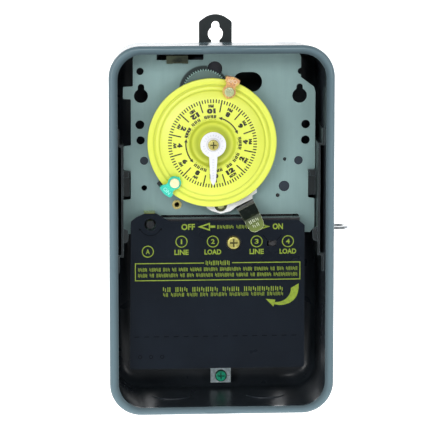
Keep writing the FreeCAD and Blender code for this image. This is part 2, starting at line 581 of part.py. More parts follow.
# =====================================================================================
# Insulator and what holds it
# =====================================================================================
sheet = slab([(-51.7, -80.9, 1.5), (47.9, -80.9, 1.5), (47.9, 1.2, 0.5), (44.4, 4.2, 0.5),
              (-28.9, 4.2, 1.5), (-36.3, 8.7, 1.2), (-42.9, 8.7, 1.0), (-47.6, 6.7, 1.5),
              (-50.7, 4.2, 1.0), (-51.2, -35.0)], INSULATOR_BACK, INSULATOR_FRONT)
PIVOT = (-39.7, 2.35)
sheet = sheet.cut(disc(PIVOT[0], PIVOT[1], 3.4, 46, 50))
sheet = sheet.cut(round_rect(2.7, 1.65, 0.6, 46, 50, 29.2, -9.1))
sheet = sheet.cut(disc(7.5, -8.5, 4.4, 46, 50))
save(sheet, "wiring_insulator")
hook = join(block(-42.9, -36.9, 7.9, 8.9, PLATE_FRONT, 47.0),
            block(-42.9, -36.9, 6.0, 8.9, PLATE_FRONT, PLATE_FRONT + 1.0))
save(hook, "insulator_hook")
tongue = join(disc(PIVOT[0], PIVOT[1], 2.2, PLATE_FRONT, 48.4), disc(PIVOT[0], PIVOT[1], 3.4, 38, 39))
save(tongue, "insulator_pivot_pin")
save(pan_screw(7.5, -8.5, 3.65, BASE_FRONT, 49.2, 1.8, 36.4, 0.9), "insulator_post_screw")
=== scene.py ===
"""Finished look of a mechanical 24-hour time switch in a drawn steel wall case.

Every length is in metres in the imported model's frame: +X to the right seen from the front,
+Y into the wall, +Z up, with the origin in the middle of the case's back face.
Heights named h are measured forwards from the wall, so a point at height h has Y = -h.
"""
from __future__ import annotations

import json
import logging
import math
from dataclasses import dataclass, field
from enum import Enum
from typing import Sequence

import bmesh
import bpy
from mathutils import Matrix, Vector

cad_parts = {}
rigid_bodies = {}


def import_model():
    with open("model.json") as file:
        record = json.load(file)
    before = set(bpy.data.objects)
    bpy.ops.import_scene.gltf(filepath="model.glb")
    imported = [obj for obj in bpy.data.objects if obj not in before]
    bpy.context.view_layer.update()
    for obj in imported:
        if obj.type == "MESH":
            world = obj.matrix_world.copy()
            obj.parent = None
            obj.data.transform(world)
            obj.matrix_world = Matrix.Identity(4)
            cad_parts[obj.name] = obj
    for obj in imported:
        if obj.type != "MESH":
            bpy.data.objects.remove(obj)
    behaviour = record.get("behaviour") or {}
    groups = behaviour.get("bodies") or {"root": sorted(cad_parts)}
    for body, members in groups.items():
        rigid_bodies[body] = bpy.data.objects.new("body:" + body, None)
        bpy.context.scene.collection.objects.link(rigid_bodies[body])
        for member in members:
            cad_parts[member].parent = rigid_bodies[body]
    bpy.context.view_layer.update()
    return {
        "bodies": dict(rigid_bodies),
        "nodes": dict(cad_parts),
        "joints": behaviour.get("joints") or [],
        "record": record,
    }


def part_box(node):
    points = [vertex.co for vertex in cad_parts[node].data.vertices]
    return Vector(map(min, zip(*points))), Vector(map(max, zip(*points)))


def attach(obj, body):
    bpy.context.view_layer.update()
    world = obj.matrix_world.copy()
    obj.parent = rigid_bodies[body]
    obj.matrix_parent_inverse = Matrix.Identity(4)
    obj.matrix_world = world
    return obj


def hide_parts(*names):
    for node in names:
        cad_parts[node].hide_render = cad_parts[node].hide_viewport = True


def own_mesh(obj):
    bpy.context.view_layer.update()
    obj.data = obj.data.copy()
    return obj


LOG = logging.getLogger("time_switch")
MM = 0.001
Colour = tuple[float, float, float]
Point = tuple[float, float]
DIAL_AXIS: Point = (-4.8 * MM, 49.0 * MM)
GEAR_AXIS: Point = (-8.58 * MM, 77.35 * MM)


class Facing(Enum):
    """Which way an arrow head points; the value is the side of its tip on which the shaft lies."""

    LEFT = 1.0
    RIGHT = -1.0


def scaled(colour: Colour, factor: float, lift: float = 0.0) -> Colour:
    """A colour made lighter or darker, kept within 1.

    Args:
        colour: The colour.
        factor: Multiplies each channel.
        lift: Added to each channel.

    Returns:
        The new colour.
    """
    return tuple(min(1.0, c * factor + lift) for c in colour)


# --------------------------------------------------------------------------------------
# Shader building
# --------------------------------------------------------------------------------------
class Sock:
    """A shader socket that adds Math nodes when it takes part in an expression."""

    def __init__(self, kit: "Kit", socket: bpy.types.NodeSocket) -> None:
        self.kit = kit
        self.socket = socket

    def _math(self, operation: str, a: "Sock | float", b: "Sock | float" = 0.0) -> "Sock":
        """Add one Math node.

        Args:
            operation: The Math node's operation.
            a: First value or socket.
            b: Second value or socket.

        Returns:
            The node's result.
        """
        return self.kit.node("ShaderNodeMath", {"operation": operation}, {0: a, 1: b})

    def __add__(self, other: "Sock | float") -> "Sock":
        """self + other."""
        return self._math("ADD", self, other)

    __radd__ = __add__

    def __sub__(self, other: "Sock | float") -> "Sock":
        """self - other."""
        return self._math("SUBTRACT", self, other)

    def __rsub__(self, other: "Sock | float") -> "Sock":
        """other - self."""
        return self._math("SUBTRACT", other, self)

    def __mul__(self, other: "Sock | float") -> "Sock":
        """self * other."""
        return self._math("MULTIPLY", self, other)

    __rmul__ = __mul__

    def __truediv__(self, other: "Sock | float") -> "Sock":
        """self / other."""
        return self._math("DIVIDE", self, other)

    def __gt__(self, other: "Sock | float") -> "Sock":
        """1 where self is larger than other."""
        return self._math("GREATER_THAN", self, other)

    def __lt__(self, other: "Sock | float") -> "Sock":
        """1 where self is smaller than other."""
        return self._math("LESS_THAN", self, other)

    def least(self, other: "Sock | float") -> "Sock":
        """The smaller of the two."""
        return self._math("MINIMUM", self, other)

    def most(self, other: "Sock | float") -> "Sock":
        """The larger of the two."""
        return self._math("MAXIMUM", self, other)

    def size(self) -> "Sock":
        """Absolute value."""
        return self._math("ABSOLUTE", self)

    def root(self) -> "Sock":
        """Square root."""
        return self._math("SQRT", self)

    def step(self, low: float, high: float, out_low: float = 0.0, out_high: float = 1.0) -> "Sock":
        """Smooth step.

        Args:
            low: Input value where the step starts.
            high: Input value where the step ends.
            out_low: Result at and below the start.
            out_high: Result at and above the end.

        Returns:
            The remapped value.
        """
        return self.kit.node(
            "ShaderNodeMapRange", {"interpolation_type": "SMOOTHSTEP", "clamp": True},
            {"Value": self, "From Min": low, "From Max": high, "To Min": out_low, "To Max": out_high})


class Kit:
    """One material's node tree, with short ways to add to it."""

    def __init__(self, name: str) -> None:
        """Start an empty material with one shader and its output.

        Args:
            name: Name of the material.
        """
        self.material = bpy.data.materials.new(name)
        self.material.use_nodes = True
        self.tree = self.material.node_tree
        self.tree.nodes.clear()
        self.shader = self.tree.nodes.new("ShaderNodeBsdfPrincipled")
        output = self.tree.nodes.new("ShaderNodeOutputMaterial")
        self.tree.links.new(self.shader.outputs[0], output.inputs[0])
        self.place = self.node("ShaderNodeTexCoord", out="Object")

    def node(self, kind: str, settings: dict | None = None, inputs: dict | None = None,
             out: int | str = 0) -> Sock:
        """Add one node.

        Args:
            kind: The node's type.
            settings: Properties of the node, set before its sockets.
            inputs: Values or links by socket name or number.
            out: Which output to hand back.

        Returns:
            The chosen output.
        """
        made = self.tree.nodes.new(kind)
        for key, value in (settings or {}).items():
            setattr(made, key, value)
        for key, value in (inputs or {}).items():
            if isinstance(value, Sock):
                self.tree.links.new(value.socket, made.inputs[key])
            else:
                made.inputs[key].default_value = value
        return Sock(self, made.outputs[out])

    def stretch(self, scale: Sequence[float], turn: Sequence[float] = (0, 0, 0)) -> Sock:
        """Object coordinates stretched along each axis."""
        return self.node("ShaderNodeMapping", {}, {"Vector": self.place, "Scale": tuple(scale),
                                                    "Rotation": tuple(turn)})

    def noise(self, scale: float, detail: float = 3.0, rough: float = 0.55,
              where: Sock | None = None) -> Sock:
        """Fractal noise between 0 and 1.

        Args:
            scale: Cells per metre.
            detail: Octaves.
            rough: Weight of the fine octaves.
            where: Coordinates, if not the object's own.

        Returns:
            The noise value.
        """
        return self.node("ShaderNodeTexNoise", {}, {"Vector": where or self.place, "Scale": scale,
                                                     "Detail": detail, "Roughness": rough})

    def cells(self, scale: float, where: Sock | None = None, out: str = "Distance") -> Sock:
        """Voronoi cells."""
        return self.node("ShaderNodeTexVoronoi", {}, {"Vector": where or self.place, "Scale": scale}, out)

    def axes(self) -> tuple[Sock, Sock, Sock]:
        """The object's X, Y and Z as three values."""
        split = self.tree.nodes.new("ShaderNodeSeparateXYZ")
        self.tree.links.new(self.place.socket, split.inputs[0])
        return tuple(Sock(self, o) for o in split.outputs)

    def reach(self, x0: float, z0: float) -> Sock:
        """Distance from a line that runs front to back.

        Args:
            x0: Where the line is, to the right.
            z0: Where the line is, upwards.

        Returns:
            The distance in metres.
        """
        x, _, z = self.axes()
        dx, dz = x - x0, z - z0
        return (dx * dx + dz * dz).root()

    def blend(self, factor: Sock | float, a: "Sock | Colour", b: "Sock | Colour") -> Sock:
        """Mix two colours."""
        def rgba(value: "Sock | Colour") -> "Sock | tuple":
            """A colour with alpha, or the socket as it is."""
            return value if isinstance(value, Sock) else (*value, 1.0)
        return self.node("ShaderNodeMix", {"data_type": "RGBA"}, {0: factor, 6: rgba(a), 7: rgba(b)}, 2)

    def edges(self, radius: float) -> Sock:
        """1 on sharp corners within a radius, 0 on flats.

        Args:
            radius: How far a corner reaches, in metres.

        Returns:
            The mask.
        """
        soft = self.node("ShaderNodeBevel", {"samples": 4}, {"Radius": radius})
        hard = self.node("ShaderNodeNewGeometry", out="Normal")
        same = self.node("ShaderNodeVectorMath", {"operation": "DOT_PRODUCT"}, {0: soft, 1: hard}, "Value")
        return same.step(0.995, 0.90)

    def relief(self, height: Sock, distance: float, strength: float = 1.0,
               normal: Sock | None = None) -> Sock:
        """Bump from a height.

        Args:
            height: The height, between about 0 and 1.
            distance: What a height of 1 stands for, in metres.
            strength: How strongly the bump shows.
            normal: A normal to start from, if not the surface's own.

        Returns:
            The bumped normal.
        """
        inputs = {"Height": height, "Distance": distance, "Strength": strength}
        if normal is not None:
            inputs["Normal"] = normal
        return self.node("ShaderNodeBump", {}, inputs)

    def finish(self, **inputs: "Sock | float | Colour") -> bpy.types.Material:
        """Connect the shader and hand over the material.

        Args:
            inputs: Shader sockets by name, with underscores for spaces.

        Returns:
            The finished material.
        """
        for key, value in inputs.items():
            socket = self.shader.inputs[key.replace("_", " ")]
            if isinstance(value, Sock):
                self.tree.links.new(value.socket, socket)
            elif isinstance(value, tuple):
                socket.default_value = (*value, 1.0)
            else:
                socket.default_value = value
        return self.material


# --------------------------------------------------------------------------------------
# Finishes
# --------------------------------------------------------------------------------------
@dataclass(frozen=True)
class CaseEnamel:
    """Gloss enamel over drawn steel: lighter outside and on the rim, with a painted highlight band and
    painted shade on the rim's front, and painted shade darkening the whole inside of the tub.
    """

    outside: Colour = (0.085, 0.130, 0.150)
    # inside: the darker colour inside the tub, which is painted shade.
    inside: Colour = (0.022, 0.028, 0.035)
    lip: float = 60.3 * MM
    mouth: tuple[float, float, float] = (58.62 * MM, 100.52 * MM, 14.0 * MM)
    back_turn: float = 9.0 * MM
    sheet: float = 1.2 * MM

    def make(self, name: str) -> bpy.types.Material:
        """Build the material.

        Args:
            name: Name of the material.

        Returns:
            The material.
        """
        kit = Kit(name)
        x, y, z = kit.axes()
        depth = y * -1.0
        wide, tall, turn = self.mouth
        over_x = (x.size() - (wide - turn)).most(0.0)
        over_z = (z.size() - (tall - turn)).most(0.0)
        out = (over_x * over_x + over_z * over_z).root() - turn
        side = (out + (self.back_turn - self.sheet)).most(0.0)
        low = (self.back_turn - depth).most(0.0)
        inner = (side * side + low * low).root() < self.back_turn - self.sheet / 2
        # tub: the inside of the case, darkened below as painted shade; it also adds coat and roughness there.
        tub = inner * depth.step(self.lip + 0.6 * MM, self.lip - 0.6 * MM)
        cloud = kit.noise(18.0, 3.0)
        peel = kit.noise(900.0, 2.0, 0.5)
        wave = kit.noise(60.0, 2.0, 0.4)
        dust = kit.cells(420.0).step(0.055, 0.02) * kit.noise(35.0, 2.0).step(0.60, 0.72)
        light = kit.blend(cloud.step(0.3, 0.7), scaled(self.outside, 0.93), scaled(self.outside, 1.06))
        dark = kit.blend(cloud.step(0.3, 0.7), self.inside, scaled(self.inside, 1.35))
        front = depth.step(self.lip, self.lip + 0.9 * MM)
        # Painted highlight: a lighter band along the rim's front (thin); painted shade: a darker line at its
        # inner edge (thick).
        thin = out.step(0.8 * MM, 3.0 * MM) * out.step(5.0 * MM, 4.1 * MM) * front
        thick = out.step(1.7 * MM, 0.2 * MM) * front
        light = kit.blend(thin * 0.75, light, scaled(self.outside, 1.55))
        light = kit.blend(thick * 0.60, light, scaled(self.outside, 0.45))
        colour = kit.blend(tub, light, dark)
        colour = kit.blend(dust * 0.55, colour, (0.55, 0.57, 0.58))
        rough = kit.noise(45.0, 4.0).step(0.3, 0.75, 0.17, 0.26) + dust * 0.35 + tub * 0.10
        height = peel * 0.25 + wave
        return kit.finish(Base_Color=colour, Roughness=rough, Normal=kit.relief(height, 0.00009, 0.55),
                          Coat_Weight=tub * 0.04, Coat_Roughness=0.10, Specular_IOR_Level=0.38)


@dataclass(frozen=True)
class ZincSheet:
    """Matt zinc-plated sheet with handling scratches and small specks, and an optional painted shadow round
    the drive gear.
    """

    tone: Colour = (0.240, 0.362, 0.355)
    shine: float = 0.30
    rough: float = 0.46
    scratch: float = 1.0
    # gear_shadow: centre and radius of a painted shadow that darkens the sheet round the drive gear.
    gear_shadow: tuple[float, float, float] | None = None

    def make(self, name: str) -> bpy.types.Material:
        """Build the material.

        Args:
            name: Name of the material.

        Returns:
            The material.
        """
        kit = Kit(name)
        cloud = kit.noise(22.0, 4.0, 0.6)
        grain = kit.noise(1500.0, 2.0, 0.7)
        roll = kit.noise(30.0, 5.0, 0.7, kit.stretch((14.0, 14.0, 1.0)))
        marks = kit.noise(55.0, 6.0, 0.75, kit.stretch((1.0, 1.0, 26.0), (0.0, 0.7, 0.0)))
        marks = marks.step(0.665, 0.70) * kit.noise(28.0, 2.0).step(0.48, 0.62) * self.scratch
        specks = kit.cells(330.0).step(0.075, 0.03) * kit.noise(70.0, 1.0).step(0.60, 0.68)
        edge = kit.edges(0.35 * MM)
        colour = kit.blend(cloud.step(0.25, 0.75), scaled(self.tone, 0.90), scaled(self.tone, 1.10))
        colour = kit.blend(roll.step(0.3, 0.7) * 0.18, colour, scaled(self.tone, 0.72))
        # Painted shadow: the sheet darkened within the drive gear's radius.
        if self.gear_shadow:
            away = kit.reach(*self.gear_shadow[:2])
            colour = kit.blend(away.step(self.gear_shadow[2], self.gear_shadow[2] * 0.93) * 0.93, colour,
                               scaled(self.tone, 0.08))
        bright = scaled(self.tone, 1.9, 0.08)
        colour = kit.blend((marks * 0.5 + specks * 0.6 + edge * 0.65).least(1.0), colour, bright)
        rough = grain.step(0.2, 0.8, self.rough - 0.07, self.rough + 0.07) - marks * 0.12 - edge * 0.10
        height = grain * 0.6 - marks * 0.8
        return kit.finish(Base_Color=colour, Metallic=self.shine, Roughness=rough,
                          Normal=kit.relief(height, 0.00004, 0.5))


@dataclass(frozen=True)
class BarMetal:
    """Turned, formed or plated small metal parts.

    The cross gives a driver recess's middle, arm, half width and the head's height; the recess below
    the head's top is painted dark as shade. The collar gives a dark ring's middle and inner radius.
    """

    tone: Colour
    rough: float = 0.28
    tint: Colour | None = None
    tint_scale: float = 160.0
    bright: float = 1.35
    metallic: float = 1.0
    cross: tuple[float, float, float, float, float] | None = None
    collar: tuple[float, float, float] | None = None

    def make(self, name: str) -> bpy.types.Material:
        """Build the material.

        Args:
            name: Name of the material.

        Returns:
            The material.
        """
        kit = Kit(name)
        cloud = kit.noise(self.tint_scale, 3.0, 0.55)
        fine = kit.noise(2600.0, 2.0, 0.6)
        other = self.tint or scaled(self.tone, 0.78)
        colour = kit.blend(cloud.step(0.35, 0.68), self.tone, other)
        edge = kit.edges(0.25 * MM)
        # Sharp edges lightened by bright: edge wear, and where bright is large, as on the side brackets,
        # painted highlight of light caught on the edges.
        colour = kit.blend(edge * 0.7, colour, scaled(self.tone, self.bright))
        if self.cross:
            x, y, z = kit.axes()
            dx, dz = (x - self.cross[0]).size(), (z - self.cross[1]).size()
            arm, half = self.cross[2], self.cross[3]
            inside = ((dx < arm) * (dz < half)).most((dx < half) * (dz < arm))
            # Painted shade: the driver recess, below the head's top, darkened to a tenth of the tone.
            sunk = inside * ((y * -1.0) < self.cross[4] - 0.12 * MM)
            colour = kit.blend(sunk * 0.88, colour, scaled(self.tone, 0.10))
        if self.collar:
            ring = kit.reach(*self.collar[:2]) > self.collar[2]
            colour = kit.blend(ring * 0.85, colour, scaled(self.tone, 0.06))
        rough = cloud.step(0.25, 0.75, self.rough * 0.8, self.rough * 1.3) + fine * 0.06
        return kit.finish(Base_Color=colour, Metallic=self.metallic, Roughness=rough,
                          Normal=kit.relief(fine + cloud, 0.00003, 0.35))


@dataclass(frozen=True)
class DialPaint:
    """Satin yellow paint on spun aluminium, with rings of faint tool marks, and painted shade in darker rings
    at the grooves, the dish and round the hub.
    """

    base: Colour = (0.80, 0.87, 0.105)
    shade: Colour = (0.62, 0.69, 0.05)
    centre: Point = DIAL_AXIS
    # grooves: radius, half width and strength, in millimetres, of rings darkened as painted shade.
    grooves: tuple[tuple[float, float, float], ...] = (
        (32.9, 0.9, 0.70), (30.0, 0.8, 0.55), (12.4, 1.6, 0.65), (8.6, 3.6, 0.85), (14.3, 1.5, 0.3))

    def make(self, name: str) -> bpy.types.Material:
        """Build the material.

        Args:
            name: Name of the material.

        Returns:
            The material.
        """
        kit = Kit(name)
        radius = kit.reach(*self.centre)
        ring = kit.node("ShaderNodeTexNoise", {"noise_dimensions": "1D"},
                        {"W": radius, "Scale": 2200.0, "Detail": 3.0})
        cloud = kit.noise(30.0, 3.0)
        peel = kit.noise(1300.0, 2.0)
        mix = cloud.step(0.3, 0.7) * 0.22 + ring.step(0.3, 0.7) * 0.06
        colour = kit.blend(mix, self.base, self.shade)
        dirt = kit.cells(300.0).step(0.05, 0.02) * kit.noise(50.0, 1.0).step(0.64, 0.70)
        colour = kit.blend(dirt * 0.35, colour, (0.30, 0.32, 0.08))
        # Painted shade: darker rings at the grooves, at the dish and round the hub.
        for groove, half, depth in self.grooves:
            painted_ring_shade = (radius - groove * MM).size().step(half * MM, 0.0)
            colour = kit.blend(painted_ring_shade * depth, colour, (0.42, 0.50, 0.03))
        rough = cloud.step(0.3, 0.7, 0.30, 0.40) + ring * 0.04
        return kit.finish(Base_Color=colour, Roughness=rough,
                          Normal=kit.relief(peel * 0.4 + ring * 0.6, 0.00005, 0.35), Coat_Weight=0.15,
                          Coat_Roughness=0.2)


@dataclass(frozen=True)
class Moulded:
    """Moulded plastic or smooth fibre sheet."""

    tone: Colour
    rough: float = 0.4
    grain: float = 900.0
    relief: float = 0.00004
    dust: float = 0.0
    gloss: float = 0.0
    specular: float = 0.5
    # teeth_highlight: centre and root radius of a gear's teeth, which are painted lighter as a highlight.
    teeth_highlight: tuple[float, float, float] | None = None

    def make(self, name: str) -> bpy.types.Material:
        """Build the material.

        Args:
            name: Name of the material.

        Returns:
            The material.
        """
        kit = Kit(name)
        cloud = kit.noise(26.0, 4.0)
        fine = kit.noise(self.grain, 3.0)
        colour = kit.blend(cloud.step(0.3, 0.7), scaled(self.tone, 0.86), scaled(self.tone, 1.16))
        edge = kit.edges(0.25 * MM)
        colour = kit.blend(edge * 0.30, colour, scaled(self.tone, 1.5, 0.05))
        if self.teeth_highlight:
            # Painted highlight: the teeth, beyond the root radius, made three times lighter.
            colour = kit.blend(kit.reach(*self.teeth_highlight[:2]) > self.teeth_highlight[2], colour, scaled(self.tone, 3.0))
        specks = kit.cells(480.0).step(0.06, 0.02) * kit.noise(60.0, 1.0).step(0.58, 0.70) * self.dust
        colour = kit.blend(specks, colour, (0.45, 0.47, 0.50))
        rough = cloud.step(0.25, 0.75, self.rough - 0.06, self.rough + 0.06) + specks * 0.3
        return kit.finish(Base_Color=colour, Roughness=rough, Coat_Weight=self.gloss,
                          Coat_Roughness=0.12, Specular_IOR_Level=self.specular,
                          Normal=kit.relief(fine, self.relief, 0.4))


@dataclass(frozen=True)
class Groove:
    """Dull black at the bottom of scores and pressed dots."""

    tone: Colour = (0.0012, 0.0014, 0.0018)

    def make(self, name: str) -> bpy.types.Material:
        """Build the material.

        Args:
            name: Name of the material.

        Returns:
            The material.
        """
        kit = Kit(name)
        soil = kit.noise(500.0, 3.0).step(0.4, 0.8)
        colour = kit.blend(soil, self.tone, scaled(self.tone, 3.0))
        return kit.finish(Base_Color=colour, Roughness=soil.step(0.0, 1.0, 0.80, 0.95),
                          Specular_IOR_Level=0.05)


@dataclass(frozen=True)
class LeverPlate:
    """Bright nickel on the lever, with painted reflection: dark where it lies flat, yellow-green towards the
    finger pad.
    """

    # flat and pad: the dark and the yellow-green ends of the painted reflection.
    flat: Colour = (0.008, 0.012, 0.010)
    pad: Colour = (0.075, 0.105, 0.012)
    pivot: Point = DIAL_AXIS

    def make(self, name: str) -> bpy.types.Material:
        """Build the material.

        Args:
            name: Name of the material.

        Returns:
            The material.
        """
        kit = Kit(name)
        away = kit.reach(*self.pivot)
        cloud = kit.noise(260.0, 3.0, 0.6)
        # Painted reflection: the colour runs from dark near the pivot to yellow-green at the pad.
        sweep = (away + cloud * 0.004).step(48.0 * MM, 56.5 * MM)
        colour = kit.blend(sweep, self.flat, self.pad)
        colour = kit.blend(kit.edges(0.3 * MM) * 0.75, colour, (0.66, 0.70, 0.52))
        rough = cloud.step(0.3, 0.7, 0.16, 0.30)
        return kit.finish(Base_Color=colour, Metallic=0.25, Roughness=rough, Specular_IOR_Level=0.2,
                          Normal=kit.relief(cloud, 0.00003, 0.3))


@dataclass(frozen=True)
class Ink:
    """Screen-printed ink with slightly uneven cover."""

    tone: Colour
    rough: float = 0.5

    def make(self, name: str) -> bpy.types.Material:
        """Build the material.

        Args:
            name: Name of the material.

        Returns:
            The material.
        """
        kit = Kit(name)
        worn = kit.noise(700.0, 3.0, 0.7).step(0.30, 0.62)
        colour = kit.blend(worn, scaled(self.tone, 0.72), self.tone)
        return kit.finish(Base_Color=colour, Roughness=kit.noise(400.0).step(0.3, 0.7, self.rough - 0.1,
                                                                            self.rough + 0.1))


FINISHES: dict[str, object] = {
    "shell_enamel": CaseEnamel(),
    "dark_steel": BarMetal((0.018, 0.025, 0.027), 0.36, metallic=0.25, bright=3.4),
    # The plate carries a painted shadow round the drive gear.
    "zinc_plate": ZincSheet(gear_shadow=(*GEAR_AXIS, 14.6 * MM)),
    "bracket_steel": ZincSheet((0.50, 0.54, 0.54), 0.9, 0.36, 0.6),
    "zinc_bright": BarMetal((0.60, 0.66, 0.40), 0.26, (0.46, 0.56, 0.24), metallic=0.5),
    "zinc_dark": BarMetal((0.34, 0.36, 0.37), 0.18, (0.24, 0.26, 0.27), 400.0),
    "brass_pointer": BarMetal((0.80, 0.72, 0.24), 0.20, (0.52, 0.46, 0.12), 260.0, metallic=0.5,
                              cross=(*DIAL_AXIS, 1.95 * MM, 0.45 * MM, 60.9 * MM)),
    "brass_post": BarMetal((0.62, 0.56, 0.17), 0.20, (0.36, 0.32, 0.08), 420.0, metallic=0.6,
                           cross=(7.5 * MM, -8.5 * MM, 2.35 * MM, 0.58 * MM, 49.2 * MM)),
    # Side brackets: dark enamel whose edges are lightened sixteen times, partly bare edges and partly painted
    # highlight.
    "bracket_dark": BarMetal((0.016, 0.022, 0.024), 0.36, metallic=0.25, bright=16.0),
    "pin_black": BarMetal((0.005, 0.007, 0.009), 0.30, metallic=0.1),
    "hook_yellow": BarMetal((0.40, 0.44, 0.08), 0.26, (0.22, 0.25, 0.05), metallic=0.3),
    "brass_stud": BarMetal((0.62, 0.66, 0.30), 0.22, (0.46, 0.50, 0.16), 260.0, metallic=0.4,
                           collar=(0.5 * MM, 12.4 * MM, 2.0 * MM)),
    "brass_pale": BarMetal((0.94, 0.93, 0.60), 0.30, (0.90, 0.84, 0.48), 500.0, metallic=0.15),
    "ground_green": BarMetal((0.02, 0.66, 0.36), 0.24, (0.01, 0.34, 0.18), 300.0, 2.2, 0.3,
                             cross=(2.95 * MM, -93.2 * MM, 2.0 * MM, 0.42 * MM, 11.8 * MM),
                             collar=(2.95 * MM, -93.2 * MM, 2.85 * MM)),
    "lug_zinc": BarMetal((0.68, 0.80, 0.84), 0.28, (0.40, 0.50, 0.52), 320.0, metallic=0.4),
    "brass": BarMetal((0.78, 0.66, 0.26), 0.20, (0.50, 0.44, 0.14), 260.0, metallic=0.6),
    "spring_brass": BarMetal((0.12, 0.14, 0.09), 0.20, (0.02, 0.026, 0.02), 120.0, 2.4, 0.5),
    "gear_dark": Moulded((0.085, 0.140, 0.125), 0.42, 1200.0),
    "strap_dark": ZincSheet((0.030, 0.040, 0.042), 0.30, 0.46, 0.5),
    # The drive gear's teeth carry a painted highlight.
    "gear_drive": Moulded((0.085, 0.140, 0.125), 0.42, 1200.0, teeth_highlight=(*GEAR_AXIS, 12.0 * MM)),
    "dial_yellow": DialPaint(),
    "aluminium_satin": BarMetal((0.84, 0.85, 0.89), 0.42, (0.76, 0.77, 0.82), bright=1.12, metallic=0.15),
    "lever_nickel": LeverPlate(),
    "nylon_white": Moulded((0.90, 0.91, 0.90), 0.34, 700.0),
    "tripper_green": BarMetal((0.06, 0.74, 0.55), 0.26, (0.03, 0.56, 0.42), 350.0, 1.7, 0.15),
    "tripper_copper": BarMetal((0.82, 0.40, 0.20), 0.24, (0.82, 0.56, 0.16), 420.0, metallic=0.35),
    "insulator_black": Moulded((0.0045, 0.008, 0.014), 0.32, 500.0, 0.00003, 0.25, specular=0.15),
    "phenolic_black": Moulded((0.022, 0.022, 0.024), 0.24, 700.0, 0.00004, 0.2, 0.3),
    "chromate_yellow": BarMetal((0.70, 0.72, 0.30), 0.24, (0.50, 0.56, 0.20), 260.0),
    "motor_grey": Moulded((0.022, 0.025, 0.034), 0.40),
    "coil_copper": BarMetal((0.55, 0.24, 0.10), 0.32),
    "contact_silver": BarMetal((0.86, 0.86, 0.84), 0.20),
    "lead_red": Moulded((0.30, 0.03, 0.03), 0.45),
    "rivet_blue": BarMetal((0.012, 0.022, 0.038), 0.42, metallic=0.1, bright=2.0),
    "pointer_mark": BarMetal((0.62, 0.63, 0.68), 0.45, metallic=0.5),
    "tripper_green_raised": BarMetal((0.35, 0.95, 0.80), 0.28, metallic=0.1),
    "tripper_copper_raised": BarMetal((0.95, 0.70, 0.50), 0.28, metallic=0.5),
    "lever_mark": BarMetal((0.34, 0.38, 0.25), 0.3, metallic=0.2),
    "score_dark": Groove(),
    "dial_ink": Ink((0.012, 0.014, 0.006), 0.45),
    "label_ink": Ink((0.245, 0.345, 0.016), 0.5),
}


class Paintbox:
    """Makes each finish once and hands it out by name."""

    def __init__(self) -> None:
        """Start with nothing made."""
        self.made: dict[str, bpy.types.Material] = {}

    def __getitem__(self, name: str) -> bpy.types.Material:
        """The finish of that name."""
        if name not in self.made:
            self.made[name] = FINISHES[name].make(name)
        return self.made[name]


